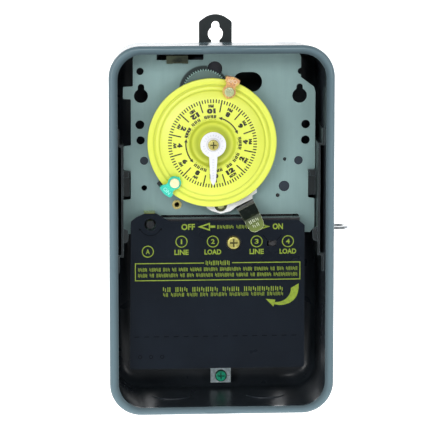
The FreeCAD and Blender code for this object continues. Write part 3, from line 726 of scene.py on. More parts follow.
# --------------------------------------------------------------------------------------
# Studio
# --------------------------------------------------------------------------------------
@dataclass
class Studio:
    """Camera, backdrop and soft lights.

    The view is width across at the rim's height, and aim is how far right of and below its middle the
    middle of the rim falls. Each light is a name, a place, a size and a power in watts.
    """

    azimuth: float = -4.0
    elevation: float = 9.0
    distance: float = 1.8
    width: float = 241.66 * MM
    aim: Point = (4.0464 * MM, 9.554 * MM)
    rim_h: float = 62.0 * MM
    floor_z: float = -0.30
    bowl_r: float = 4.4
    bowl_bend: float = 0.8
    bowl_top: float = 6.0
    bowl_sides: int = 64
    bowl_open: float = -0.12
    lights: tuple[tuple[str, tuple[float, float, float], Point, float], ...] = (
        ("left_box", (-0.95, -1.60, 0.40), (0.7, 1.1), 13.5),
        ("right_box", (0.95, -1.60, 0.40), (0.7, 1.1), 6.0),
        ("top_box", (-0.1, -1.90, 0.85), (1.2, 0.5), 11.5),
        ("back_box", (-1.30, 1.70, 1.10), (0.8, 0.6), 9.0))

    def camera(self) -> None:
        """Place the camera on the viewing line and make it the scene's camera."""
        a, e = math.radians(self.azimuth), math.radians(self.elevation)
        back = Vector((math.sin(a) * math.cos(e), -math.cos(a) * math.cos(e), math.sin(e)))
        forward = -back
        right = forward.cross(Vector((0, 0, 1))).normalized()
        up = right.cross(forward)
        spot = Vector((0, -self.rim_h, 0)) + back * self.distance
        spot -= right * self.aim[0]
        spot += up * self.aim[1]
        data = bpy.data.cameras.new("camera")
        data.sensor_width = 36.0
        data.lens = self.distance / self.width * data.sensor_width
        data.clip_start = 0.01
        data.clip_end = 50.0
        camera = bpy.data.objects.new("camera", data)
        camera.matrix_world = Matrix.Translation(spot) @ Matrix((right, up, back)).transposed().to_4x4()
        bpy.context.scene.collection.objects.link(camera)
        bpy.context.scene.camera = camera

    def light(self, name: str, spot: Sequence[float], size: Point, power: float) -> None:
        """Add one soft rectangular light that faces the object.

        Args:
            name: The light's name.
            spot: Where it stands.
            size: Width and height.
            power: Watts.
        """
        data = bpy.data.lights.new(name, "AREA")
        data.shape = "RECTANGLE"
        data.size, data.size_y = size
        data.energy = power
        lamp = bpy.data.objects.new(name, data)
        lamp.location = spot
        lamp.rotation_euler = (Vector() - Vector(spot)).to_track_quat("-Z", "Y").to_euler()
        bpy.context.scene.collection.objects.link(lamp)

    def backdrop(self) -> None:
        """A pale round floor that sweeps up into a pale wall, wide enough to hold every camera."""
        sweep = self.bowl_r - self.bowl_bend
        profile = [(sweep + self.bowl_bend * math.sin(t), self.floor_z + self.bowl_bend * (1 - math.cos(t)))
                   for t in (math.pi / 2 * i / 12 for i in range(13))]
        profile.append((self.bowl_r, self.bowl_top))
        count = self.bowl_sides
        turns = [2 * math.pi * i / count for i in range(count)]
        points = [(r * math.cos(t), r * math.sin(t), z) for r, z in profile for t in turns]
        faces = [tuple(range(count))]
        for ring in range(len(profile) - 1):
            low = ring * count
            faces += [(low + i, low + count + i, low + count + (i + 1) % count, low + (i + 1) % count)
                      for i in range(count) if math.sin(turns[i]) > self.bowl_open]
        mesh = bpy.data.meshes.new("floor_sweep")
        mesh.from_pydata(points, [], faces)
        for face in mesh.polygons:
            face.use_smooth = True
        floor = bpy.data.objects.new("floor_sweep", mesh)
        bpy.context.scene.collection.objects.link(floor)
        kit = Kit("floor_paper")
        _, y, _ = kit.axes()
        far = y.step(-0.60, 0.0)
        tone = kit.blend(far, (0.58, 0.59, 0.60), (0.90, 0.91, 0.92))
        tone = kit.blend(kit.noise(6.0) * 0.08, tone, (0.5, 0.5, 0.5))
        lit = kit.blend(far, (0.10, 0.10, 0.10), (0.92, 0.92, 0.92))
        mesh.materials.append(kit.finish(Base_Color=tone, Roughness=0.9, Emission_Color=lit,
                                         Emission_Strength=1.0))

    def build(self) -> None:
        """Set up the whole studio."""
        self.camera()
        self.backdrop()
        world = bpy.data.worlds.new("studio")
        world.use_nodes = True
        sky = world.node_tree.nodes["Background"]
        sky.inputs["Color"].default_value = (0.86, 0.90, 0.95, 1.0)
        sky.inputs["Strength"].default_value = 0.16
        bpy.context.scene.world = world
        for lamp in self.lights:
            self.light(*lamp)
        bpy.context.scene.view_settings.view_transform = "Standard"


# --------------------------------------------------------------------------------------
# Thin printed, pressed and raised marks
# --------------------------------------------------------------------------------------
@dataclass(frozen=True)
class Seat:
    """A flat spot facing the front, on which marks are laid out before they are put in place."""

    x: float
    z: float
    h: float
    turn: float = 0.0
    tilt: float = 0.0

    def world(self, spot: Vector) -> Vector:
        """Turn a layout point into the frame.

        Args:
            spot: X to the right, Y up and Z out of the face, in metres.

        Returns:
            The point in the frame.
        """
        t = math.radians(self.turn)
        across = spot.x * math.cos(t) - spot.y * math.sin(t)
        up = spot.x * math.sin(t) + spot.y * math.cos(t)
        return Vector((self.x + across, -(self.h + spot.z - self.tilt * spot.y), self.z + up))


@dataclass(frozen=True)
class Bar:
    """One straight bar of a mark, in metres and degrees."""

    x: float
    y: float
    length: float
    width: float
    turn: float = 0.0


class BarTool:
    """Geometry Nodes tree that lays one thin bar on every marked point."""

    def __init__(self) -> None:
        """Build the tree once."""
        tree = bpy.data.node_groups.new("lay_bars", "GeometryNodeTree")
        for name, kind in (("Points", "NodeSocketGeometry"), ("Thickness", "NodeSocketFloat"),
                           ("Width Factor", "NodeSocketFloat"), ("Finish", "NodeSocketMaterial")):
            tree.interface.new_socket(name, in_out="INPUT", socket_type=kind)
        tree.interface.new_socket("Bars", in_out="OUTPUT", socket_type="NodeSocketGeometry")
        self.tree = tree
        source = tree.nodes.new("NodeGroupInput")
        size = self._node("GeometryNodeInputNamedAttribute", {"data_type": "FLOAT_VECTOR"},
                          {"Name": "bar_size"})
        turn = self._node("GeometryNodeInputNamedAttribute", {"data_type": "FLOAT"}, {"Name": "bar_turn"})
        split = self._node("ShaderNodeSeparateXYZ", {}, {0: size.outputs[0]})
        wide = self._node("ShaderNodeMath", {"operation": "MULTIPLY"},
                          {0: split.outputs[1], 1: source.outputs["Width Factor"]})
        scale = self._node("ShaderNodeCombineXYZ", {}, {0: split.outputs[0], 1: wide.outputs[0],
                                                        2: source.outputs["Thickness"]})
        euler = self._node("ShaderNodeCombineXYZ", {}, {2: turn.outputs[0]})
        aim = self._node("FunctionNodeEulerToRotation", {}, {0: euler.outputs[0]})
        cube = self._node("GeometryNodeMeshCube", {}, {"Size": (1.0, 1.0, 1.0)})
        laid = self._node("GeometryNodeInstanceOnPoints", {},
                          {"Points": source.outputs["Points"], "Instance": cube.outputs["Mesh"],
                           "Rotation": aim.outputs[0], "Scale": scale.outputs[0]})
        real = self._node("GeometryNodeRealizeInstances", {}, {0: laid.outputs[0]})
        done = self._node("GeometryNodeSetMaterial", {}, {"Geometry": real.outputs[0],
                                                          "Material": source.outputs["Finish"]})
        sink = tree.nodes.new("NodeGroupOutput")
        tree.links.new(done.outputs[0], sink.inputs[0])

    def _node(self, kind: str, settings: dict, inputs: dict) -> bpy.types.Node:
        """Add one node.

        Args:
            kind: The node's type.
            settings: Properties set first.
            inputs: Values or outputs to link, by socket name or number.

        Returns:
            The node.
        """
        node = self.tree.nodes.new(kind)
        for key, value in settings.items():
            setattr(node, key, value)
        for key, value in inputs.items():
            if isinstance(value, bpy.types.NodeSocket):
                self.tree.links.new(value, node.inputs[key])
            else:
                node.inputs[key].default_value = value
        return node

    def lay(self, bars: Sequence[Bar], thick: float, finish: bpy.types.Material,
            factor: float = 1.0) -> bpy.types.Mesh:
        """Lay the bars flat on the layout plane.

        Args:
            bars: The bars to lay.
            thick: How far they stand out of the face; they are sunk as far into it.
            finish: Their material.
            factor: Widens or narrows every bar.

        Returns:
            One mesh of closed bars.
        """
        cloud = bpy.data.meshes.new("bar_points")
        cloud.from_pydata([(b.x, b.y, 0.0) for b in bars], [], [])
        cloud.attributes.new("bar_size", "FLOAT_VECTOR", "POINT")
        cloud.attributes.new("bar_turn", "FLOAT", "POINT")
        for i, bar in enumerate(bars):
            cloud.attributes["bar_size"].data[i].vector = (bar.length, bar.width, 0.0)
            cloud.attributes["bar_turn"].data[i].value = math.radians(bar.turn)
        holder = bpy.data.objects.new("bar_points", cloud)
        bpy.context.scene.collection.objects.link(holder)
        modifier = holder.modifiers.new("bars", "NODES")
        modifier.node_group = self.tree
        sockets = {s.name: s.identifier for s in self.tree.interface.items_tree if s.in_out == "INPUT"}
        modifier[sockets["Thickness"]] = 2.0 * thick
        modifier[sockets["Width Factor"]] = factor
        modifier[sockets["Finish"]] = finish
        graph = bpy.context.evaluated_depsgraph_get()
        mesh = bpy.data.meshes.new_from_object(holder.evaluated_get(graph))
        bpy.data.objects.remove(holder)
        return mesh


class Marks:
    """Collects marks on one body into one mesh of thin closed shapes."""

    def __init__(self, tool: BarTool, thick: float = 0.03 * MM) -> None:
        """Start empty.

        Args:
            tool: The tree that lays bars.
            thick: How far a mark stands out of its face.
        """
        self.tool = tool
        self.thick = thick
        self.mesh = bmesh.new()

    def _take(self, part: bmesh.types.BMesh, seat: Seat) -> None:
        """Put a finished layout into place and keep it.

        Args:
            part: The layout, which is used up.
            seat: Where it goes.
        """
        for vert in part.verts:
            vert.co = seat.world(vert.co)
        held = bpy.data.meshes.new("held")
        part.to_mesh(held)
        part.free()
        self.mesh.from_mesh(held)
        bpy.data.meshes.remove(held)

    def bars(self, seat: Seat, bars: Sequence[Bar], finish: bpy.types.Material, factor: float = 1.0) -> None:
        """Add straight bars.

        Args:
            seat: Where the layout goes.
            bars: The bars.
            finish: Their material while they are laid.
            factor: Widens or narrows every bar.
        """
        part = bmesh.new()
        made = self.tool.lay(bars, self.thick, finish, factor)
        part.from_mesh(made)
        bpy.data.meshes.remove(made)
        self._take(part, seat)

    def ribbon(self, seat: Seat, inner: Sequence[Point], outer: Sequence[Point],
               closed: bool = False) -> None:
        """Add a flat band between two lines with as many points.

        Args:
            seat: Where it goes.
            inner: Points of one side.
            outer: Points of the other side.
            closed: Whether the band joins up.
        """
        part = bmesh.new()
        rows = [[part.verts.new((p[0], p[1], z)) for p in line]
                for line, z in ((inner, -self.thick), (outer, -self.thick), (outer, self.thick),
                                (inner, self.thick))]
        count = len(inner)
        for i in range(count if closed else count - 1):
            j = (i + 1) % count
            for a in range(4):
                b = (a + 1) % 4
                part.faces.new((rows[a][i], rows[a][j], rows[b][j], rows[b][i]))
        if not closed:
            for i in (0, count - 1):
                part.faces.new([row[i] for row in rows])
        self._take(part, seat)

    def ring(self, seat: Seat, radius: float, width: float, start: float = 0.0, sweep: float = 360.0) -> None:
        """Add a ring or an arc.

        Args:
            seat: Its centre.
            radius: Radius of its middle line.
            width: Width of the line.
            start: First angle in degrees, anticlockwise from the right.
            sweep: How far it runs.
        """
        count = max(6, int(abs(sweep) / 9.0))
        closed = abs(sweep) >= 360.0
        turns = [math.radians(start + sweep * i / count) for i in range(count if closed else count + 1)]
        lines = [[(r * math.cos(t), r * math.sin(t)) for t in turns]
                 for r in (radius - width / 2, radius + width / 2)]
        self.ribbon(seat, lines[0], lines[1], closed)

    def solid(self, seat: Seat, outline: Sequence[Point]) -> None:
        """Add a flat shape with straight sides.

        Args:
            seat: Where it goes.
            outline: Its corners in order.
        """
        part = bmesh.new()
        low = [part.verts.new((*p, -self.thick)) for p in outline]
        high = [part.verts.new((*p, self.thick)) for p in outline]
        part.faces.new(list(reversed(low)))
        part.faces.new(high)
        for i in range(len(outline)):
            j = (i + 1) % len(outline)
            part.faces.new((low[i], low[j], high[j], high[i]))
        self._take(part, seat)

    def words(self, seat: Seat, text: str, height: float, width: float, weight: float = 0.012) -> None:
        """Add plain lettering, centred on its seat.

        Args:
            seat: Its middle.
            text: The letters.
            height: Height of the capitals.
            width: Width of the whole word.
            weight: Stroke thickening as a share of the height.
        """
        curve = bpy.data.curves.new("letters", "FONT")
        curve.body = text
        curve.resolution_u = 3
        curve.offset = weight
        curve.extrude = 0.5
        holder = bpy.data.objects.new("letters", curve)
        bpy.context.scene.collection.objects.link(holder)
        graph = bpy.context.evaluated_depsgraph_get()
        made = bpy.data.meshes.new_from_object(holder.evaluated_get(graph))
        bpy.data.objects.remove(holder)
        part = bmesh.new()
        part.from_mesh(made)
        bpy.data.meshes.remove(made)
        low = [min(v.co[i] for v in part.verts) for i in (0, 1)]
        high = [max(v.co[i] for v in part.verts) for i in (0, 1)]
        for vert in part.verts:
            vert.co.x = (vert.co.x - (low[0] + high[0]) / 2) * width / (high[0] - low[0])
            vert.co.y = (vert.co.y - (low[1] + high[1]) / 2) * height / (high[1] - low[1])
            vert.co.z = vert.co.z * 2.0 * self.thick
        bmesh.ops.remove_doubles(part, verts=part.verts, dist=1e-7)
        self._take(part, seat)

    def finish(self, name: str, material: bpy.types.Material, body: str,
               slot: str | None = None) -> bpy.types.Object:
        """Turn the marks into a piece that rides on its body.

        Args:
            name: Name of the piece.
            material: Its finish.
            body: The body it rides on.
            slot: The record's material slot, where it has one; not used.

        Returns:
            The piece.
        """
        bmesh.ops.recalc_face_normals(self.mesh, faces=self.mesh.faces)
        for face in self.mesh.faces:
            face.material_index = 0
        mesh = bpy.data.meshes.new(name)
        self.mesh.to_mesh(mesh)
        self.mesh.free()
        mesh.materials.clear()
        mesh.materials.append(material)
        piece = bpy.data.objects.new(name, mesh)
        bpy.context.scene.collection.objects.link(piece)
        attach(piece, body)
        LOG.info("%s: %d faces on %s", name, len(mesh.polygons), body)
        return piece


def hatch(x0: float, x1: float, y: float, height: float, words: Sequence[int], stroke: float) -> list[Bar]:
    """Upright strokes in groups, which stand in for a line of small words.

    Args:
        x0: Left end.
        x1: Right end.
        y: Middle line.
        height: Height of the strokes.
        words: Letters in each group; a letter is two strokes.
        stroke: Width of a stroke.

    Returns:
        The bars.
    """
    cells = sum(words) + 0.8 * (len(words) - 1)
    pitch = (x1 - x0) / cells
    bars, at = [], x0
    for letters in words:
        for i in range(letters):
            for k, share in enumerate((0.24, 0.68)):
                drop = 0.12 * height * ((i * 7 + k * 3 + letters) % 3)
                bars.append(Bar(at + pitch * (i + share), y - (drop / 2 if k else -drop / 2),
                                height - drop, stroke, 90.0))
        at += pitch * (letters + 0.8)
    return bars


# --------------------------------------------------------------------------------------
# Sub-assemblies
# --------------------------------------------------------------------------------------
def eased(points: Sequence[Point], reach: float = 0.32, rounds: int = 2) -> list[Point]:
    """Cut the corners of a line, keeping its ends.

    Args:
        points: The line.
        reach: Longest cut from a corner.
        rounds: How many times to cut.

    Returns:
        The rounded line.
    """
    line = list(points)
    for n in range(rounds):
        cut = [line[0]]
        for (r0, h0), (r1, h1) in zip(line, line[1:]):
            t = min(0.25, reach / (n + 1) / max(1e-6, math.hypot(r1 - r0, h1 - h0)))
            cut += [(r0 + t * (r1 - r0), h0 + t * (h1 - h0)), (r1 - t * (r1 - r0), h1 - t * (h1 - h0))]
        line = cut + [line[-1]]
    return line


@dataclass
class DialFace:
    """Spun aluminium dial: edge bead, two grooves, coned scale ring and dished middle."""

    centre: Point = DIAL_AXIS
    gauge: float = 0.8
    steps: int = 180
    profile: tuple[Point, ...] = (
        (36.5, 49.7), (36.2, 50.1), (33.7, 50.4), (33.2, 50.0), (32.5, 50.0), (31.9, 50.7), (30.6, 51.0),
        (30.1, 50.8), (29.4, 51.4), (25.4, 52.9), (14.6, 54.6), (13.8, 54.7), (13.0, 54.2), (11.6, 52.7),
        (9.8, 52.4), (6.6, 52.4))

    def height(self, radius: float) -> float:
        """Height of the face at a radius.

        Args:
            radius: Distance from the axis in metres.

        Returns:
            The height above the wall in metres.
        """
        r = radius / MM
        for (r1, h1), (r0, h0) in zip(eased(self.profile), eased(self.profile)[1:]):
            if r >= r0:
                return (h0 + (h1 - h0) * min(1.0, (r - r0) / max(1e-6, r1 - r0))) * MM
        return self.profile[-1][1] * MM

    def build(self, paint: Paintbox, body: str) -> bpy.types.Object:
        """Spin the section into a closed plate.

        Args:
            paint: The finishes.
            body: The body that the dial belongs to.

        Returns:
            The piece.
        """
        front = eased(self.profile)
        section = front + [(r, h - self.gauge) for r, h in reversed(front)]
        part = bmesh.new()
        rows = []
        for k in range(self.steps):
            t = 2.0 * math.pi * k / self.steps
            rows.append([part.verts.new((self.centre[0] + r * MM * math.cos(t), -h * MM,
                                         self.centre[1] + r * MM * math.sin(t))) for r, h in section])
        for k in range(self.steps):
            one, two = rows[k], rows[(k + 1) % self.steps]
            for i in range(len(section)):
                j = (i + 1) % len(section)
                part.faces.new((one[i], one[j], two[j], two[i])).smooth = True
        bmesh.ops.recalc_face_normals(part, faces=part.faces)
        mesh = bpy.data.meshes.new("dial_face")
        part.to_mesh(mesh)
        part.free()
        mesh.set_sharp_from_angle(angle=math.radians(40.0))
        mesh.materials.append(paint["dial_yellow"])
        piece = bpy.data.objects.new("dial_face", mesh)
        bpy.context.scene.collection.objects.link(piece)
        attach(piece, body)
        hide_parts("dial_plate")
        LOG.info("dial_face: %d faces on %s", len(mesh.polygons), body)
        return piece


@dataclass
class DialPrint:
    """Black scale on the dial: quarter-hour ticks, hour numbers, arrows and a ring of plain strokes."""

    face: DialFace = field(default_factory=DialFace)
    centre: Point = DIAL_AXIS
    ticks: int = 96
    tick_out: float = 25.1 * MM
    tick_in: float = 23.0 * MM
    line_in: float = 18.2 * MM
    tick_wide: float = 0.64 * MM
    line_wide: float = 0.70 * MM
    arc_wide: float = 0.72 * MM
    stroke_wide: float = 0.66 * MM
    stroke_half: float = 1.2 * MM
    line_turn: float = 12.5
    label_turn: float = -2.4
    number_r: float = 18.5 * MM
    half_r: float = 21.3 * MM
    band_r: float = 15.15 * MM
    labels: tuple[tuple[str, str], ...] = (
        ("10", "PM"), ("8", "PM"), ("6", "PM"), ("4", "PM"), ("2", "PM"), ("12", "NOON"),
        ("10", "AM"), ("8", "AM"), ("6", "AM"), ("4", "AM"), ("2", "AM"), ("12", "MID"))
    number_tall: float = 2.9 * MM
    half_tall: float = 1.8 * MM
    arrows: tuple[Point, ...] = ((12.5, 69.0), (226.0, 281.0))
    band: tuple[tuple[float, float, int], ...] = (
        (-18.5, 8.0, 4), (-49.0, -26.5, 3), (-77.0, -54.0, 4), (192.5, 223.0, 4), (159.0, 186.0, 4),
        (136.5, 150.0, 2), (110.0, 131.5, 3), (75.5, 103.0, 4))

    def around(self, clock: float, radius: float) -> Seat:
        """A seat at a clock angle whose letters have their tops towards the middle."""
        t = math.radians(clock)
        return Seat(self.centre[0] + radius * math.sin(t), self.centre[1] + radius * math.cos(t), 0.0,
                    180.0 - clock)

    def spoke(self, clock: float, inner: float, outer: float, width: float) -> Bar:
        """A bar along a radius.

        Args:
            clock: Angle clockwise from the top, in degrees.
            inner: Where it starts.
            outer: Where it ends.
            width: Its width.

        Returns:
            The bar.
        """
        t = math.radians(clock)
        mid = (inner + outer) / 2
        return Bar(mid * math.sin(t), mid * math.cos(t), outer - inner, width, 90.0 - clock)

    def arrow(self, marks: Marks, start: float, end: float) -> None:
        """A double-headed arc arrow between two clock angles.

        Args:
            marks: The marks to add to.
            start: First clock angle in degrees.
            end: Last clock angle in degrees.
        """
        flat = Seat(*self.centre, 0.0)
        reach = math.degrees(1.5 * MM / self.band_r)
        marks.ring(flat, self.band_r, self.arc_wide, 90.0 - start - reach, -(end - start - 2 * reach))
        for tip, side in ((start, 1.0), (end, -1.0)):
            t, b = math.radians(tip), math.radians(tip + side * reach * 1.35)
            outline = [(self.band_r * math.sin(t), self.band_r * math.cos(t))]
            outline += [((self.band_r + d) * math.sin(b), (self.band_r + d) * math.cos(b))
                        for d in (1.0 * MM, -1.0 * MM)]
            marks.solid(flat, outline)

    def build(self, tool: BarTool, paint: Paintbox, body: str) -> bpy.types.Object:
        """Make the print and lay it on the coned face.

        Args:
            tool: The tree that lays bars.
            paint: The finishes.
            body: The body that the dial belongs to.

        Returns:
            The piece.
        """
        marks = Marks(tool)
        flat = Seat(*self.centre, 0.0)
        step = 360.0 / self.ticks
        lines = {round(self.line_turn / step + 30.0 * k / step) % self.ticks for k in range(12)}
        shift = self.line_turn - round(self.line_turn / step) * step
        bars = [self.spoke(i * step + shift, self.tick_in, self.tick_out, self.tick_wide)
                for i in range(self.ticks) if i not in lines]
        bars += [self.spoke(self.line_turn + 30.0 * k, self.line_in, self.tick_out, self.line_wide)
                 for k in range(12)]
        for start, end, letters in self.band:
            pitch = (end - start) / letters
            for i in range(letters):
                for k, share in enumerate((0.26, 0.70)):
                    cut = 0.55 * MM * ((i + k) % 2)
                    bars.append(self.spoke(start + pitch * (i + share), self.band_r - self.stroke_half + cut,
                                           self.band_r + self.stroke_half, self.stroke_wide))
        marks.bars(flat, bars, paint["dial_ink"])
        for k, (number, half) in enumerate(self.labels):
            clock = self.label_turn + 30.0 * k
            marks.words(self.around(clock, self.number_r), number, self.number_tall,
                        (4.9 if len(number) > 1 else 2.5) * MM, 0.085)
            marks.words(self.around(clock, self.half_r), half, self.half_tall,
                        {2: 3.0, 3: 3.4, 4: 4.2}[len(half)] * MM, 0.09)
        for start, end in self.arrows:
            self.arrow(marks, start, end)
        for vert in marks.mesh.verts:
            radius = math.hypot(vert.co.x - self.centre[0], vert.co.z - self.centre[1])
            vert.co.y -= self.face.height(radius)
        return marks.finish("dial_print", paint["dial_ink"], body)


@dataclass
class PointerMarks:
    """Fine raised strokes round the pointer's hub and down its arm."""

    centre: Point = DIAL_AXIS
    face: float = 59.0 * MM
    count: int = 22
    radius: float = 5.35 * MM
    open_turns: Point = (150.0, 210.0)
    blank_every: int = 6
    arm_count: int = 8
    arm_pitch: float = 1.5 * MM
    ring_r: float = 3.75 * MM

    def build(self, tool: BarTool, paint: Paintbox, body: str) -> bpy.types.Object:
        """Make the strokes.

        Args:
            tool: The tree that lays bars.
            paint: The finishes.
            body: The body that the marks ride on.

        Returns:
            The piece.
        """
        marks = Marks(tool, 0.10 * MM)
        seat = Seat(*self.centre, self.face)
        bars = []
        for i in range(self.count):
            clock = 360.0 * i / self.count
            if self.open_turns[0] < clock < self.open_turns[1] or (i + 1) % self.blank_every == 0:
                continue
            t = math.radians(clock)
            bars.append(Bar(self.radius * math.sin(t), self.radius * math.cos(t), 1.15 * MM, 0.32 * MM,
                            90.0 - clock))
        bars += [Bar(0.0, -8.4 * MM - self.arm_pitch * i, (1.15 - 0.06 * i) * MM, 0.34 * MM)
                 for i in range(self.arm_count)]
        marks.bars(seat, bars, paint["pointer_mark"])
        marks.ring(seat, self.ring_r, 0.30 * MM)
        return marks.finish("pointer_marks", paint["pointer_mark"], body, "aluminium_satin")


@dataclass
class TripperMarks:
    """The word pressed proud on the crown of one tripper."""

    name: str
    word: str
    angle: float
    finish: str
    width: float
    centre: Point = DIAL_AXIS
    face: float = 54.4 * MM
    radius: float = 37.05 * MM

    def build(self, tool: BarTool, paint: Paintbox, body: str) -> bpy.types.Object:
        """Make the raised word.

        Args:
            tool: The tree that lays bars.
            paint: The finishes.
            body: The body that the marks ride on.

        Returns:
            The piece.
        """
        marks = Marks(tool, 0.16 * MM)
        t = math.radians(self.angle)
        seat = Seat(self.centre[0] + self.radius * math.cos(t), self.centre[1] + self.radius * math.sin(t),
                    self.face, self.angle + 90.0)
        marks.words(seat, self.word, 2.1 * MM, self.width, 0.02)
        return marks.finish(self.name, paint[self.finish + "_raised"], body, self.finish)


@dataclass
class LeverMarks:
    """Raised strokes on the sloping finger pad of the manual lever."""

    centre: Point = DIAL_AXIS
    angle: float = 27.8
    radius: float = 51.4 * MM
    face: float = 53.50 * MM
    slope: float = 0.305

    def build(self, tool: BarTool, paint: Paintbox, body: str) -> bpy.types.Object:
        """Make the strokes.

        Args:
            tool: The tree that lays bars.
            paint: The finishes.
            body: The body that the marks ride on.

        Returns:
            The piece.
        """
        marks = Marks(tool, 0.13 * MM)
        t = math.radians(self.angle)
        seat = Seat(self.centre[0] + self.radius * math.sin(t), self.centre[1] - self.radius * math.cos(t),
                    self.face, self.angle, self.slope)
        bars = hatch(-3.1 * MM, 3.1 * MM, 1.45 * MM, 1.9 * MM, (3,), 0.42 * MM)
        bars += hatch(-2.2 * MM, 2.2 * MM, -1.3 * MM, 1.9 * MM, (2,), 0.42 * MM)
        marks.bars(seat, bars, paint["lever_mark"])
        return marks.finish("lever_marks", paint["lever_mark"], body, "lever_nickel")


@dataclass
class InsulatorPrint:
    """Yellow-green print on the wiring insulator: terminal marks, lever arrows, frame and plain strokes."""

    face: float = 48.0 * MM
    terminals: tuple[tuple[str, float, float, str], ...] = (
        ("1", -22.1, -7.6, "LINE"), ("2", -4.3, -7.7, "LOAD"), ("3", 20.6, -7.9, "LINE"),
        ("4", 38.4, -8.0, "LOAD"), ("A", -41.2, -13.1, ""))
    frame: tuple[float, float, float, float] = (-48.3, 45.3, -29.8, -20.0)
    gap: Point = (-9.6, 6.8)
    line: float = 0.50 * MM
    circle_r: float = 3.15 * MM
    word_z: float = -13.7 * MM
    rows: tuple[tuple[float, float, float, float, tuple[int, ...], float], ...] = (
        (-46.9, 44.0, -23.6, 2.2, (4, 5, 3, 2, 4, 5, 6, 9, 4, 6, 2, 3, 5), 0.30),
        (-46.9, 44.0, -26.9, 2.2, (4, 2, 9, 2, 3, 7, 8, 5, 2, 6, 10), 0.30),
        (-33.0, 36.0, -35.1, 2.7, (2, 3, 6, 4, 9), 0.50),
        (-32.7, 36.0, -38.1, 2.2, (2, 5, 4, 3, 6, 7, 5, 6), 0.30),
        (-2.0, 17.0, 0.6, 2.1, (6, 5), 0.34))
    crescent_out: tuple[Point, ...] = ((44.6, -32.4), (44.6, -35.0), (44.2, -37.6), (43.3, -40.0),
                                       (41.6, -42.1), (39.4, -43.6), (36.7, -44.5), (33.7, -44.8),
                                       (30.4, -44.2))
    crescent_in: tuple[Point, ...] = ((40.2, -35.0), (40.1, -36.6), (39.6, -38.2), (38.8, -39.6),
                                      (37.7, -40.9), (36.3, -41.9), (34.7, -42.6), (32.8, -43.0),
                                      (30.9, -43.0))

    def arrow(self, marks: Marks, tip: float, z: float, facing: Facing) -> None:
        """An outlined arrow head with a short shaft.

        Args:
            marks: The marks to add to.
            tip: Where the tip is, in millimetres to the right.
            z: Its height in millimetres.
            facing: Which way it points.
        """
        side = facing.value
        head = Seat(tip * MM, z * MM, self.face)
        outer = [(0.0, 0.0), (side * 7.1 * MM, 2.35 * MM), (side * 7.1 * MM, -2.35 * MM)]
        inner = [(side * 2.6 * MM, 0.0), (side * 6.4 * MM, 1.25 * MM), (side * 6.4 * MM, -1.25 * MM)]
        marks.ribbon(head, inner, outer, True)
        marks.solid(head, [(side * 7.0 * MM, -0.65 * MM), (side * 10.1 * MM, -0.65 * MM),
                           (side * 10.1 * MM, 0.65 * MM), (side * 7.0 * MM, 0.65 * MM)])

    def build(self, tool: BarTool, paint: Paintbox, body: str) -> bpy.types.Object:
        """Make the print.

        Args:
            tool: The tree that lays bars.
            paint: The finishes.
            body: The body that the insulator belongs to.

        Returns:
            The piece.
        """
        marks = Marks(tool)
        ink = paint["label_ink"]
        flat = Seat(0.0, 0.0, self.face)
        for mark, x, z, word in self.terminals:
            seat = Seat(x * MM, z * MM, self.face)
            marks.ring(seat, self.circle_r, self.line)
            marks.words(seat, mark, 2.7 * MM, (0.85 if mark == "1" else 2.2) * MM, 0.022)
            if word:
                marks.words(Seat(x * MM, self.word_z, self.face), word, 2.95 * MM,
                            (8.1 if word == "LINE" else 9.5) * MM, 0.030)
        marks.words(Seat(-18.3 * MM, 0.8 * MM, self.face), "OFF", 3.5 * MM, 7.7 * MM, 0.030)
        marks.words(Seat(32.6 * MM, 0.6 * MM, self.face), "ON", 3.4 * MM, 5.8 * MM, 0.030)
        self.arrow(marks, -13.0, 0.8, Facing.LEFT)
        self.arrow(marks, 28.2, 0.6, Facing.RIGHT)
        x0, x1, z0, z1 = (v * MM for v in self.frame)
        g0, g1 = (v * MM for v in self.gap)
        line = self.line
        bars = [Bar((x0 + x1) / 2, z0, x1 - x0 + line, line),
                Bar(x0, (z0 + z1) / 2, z1 - z0 - line, line, 90.0),
                Bar(x1, (z0 + z1) / 2, z1 - z0 - line, line, 90.0),
                Bar((x0 + g0) / 2, z1, g0 - x0 + line, line), Bar((g1 + x1) / 2, z1, x1 - g1 + line, line)]
        bars += hatch(g0 + 1.0 * MM, g1 - 1.2 * MM, z1, 2.7 * MM, (7,), 0.42 * MM)
        for left, right, z, tall, groups, stroke in self.rows:
            bars += hatch(left * MM, right * MM, z * MM, tall * MM, groups, stroke * MM)
        marks.bars(flat, bars, ink)
        marks.ribbon(flat, [(x * MM, z * MM) for x, z in self.crescent_in],
                     [(x * MM, z * MM) for x, z in self.crescent_out])
        marks.solid(flat, [(25.9 * MM, -41.1 * MM), (30.2 * MM, -45.6 * MM), (31.0 * MM, -43.6 * MM),
                           (31.3 * MM, -41.6 * MM)])
        return marks.finish("insulator_print", ink, body)


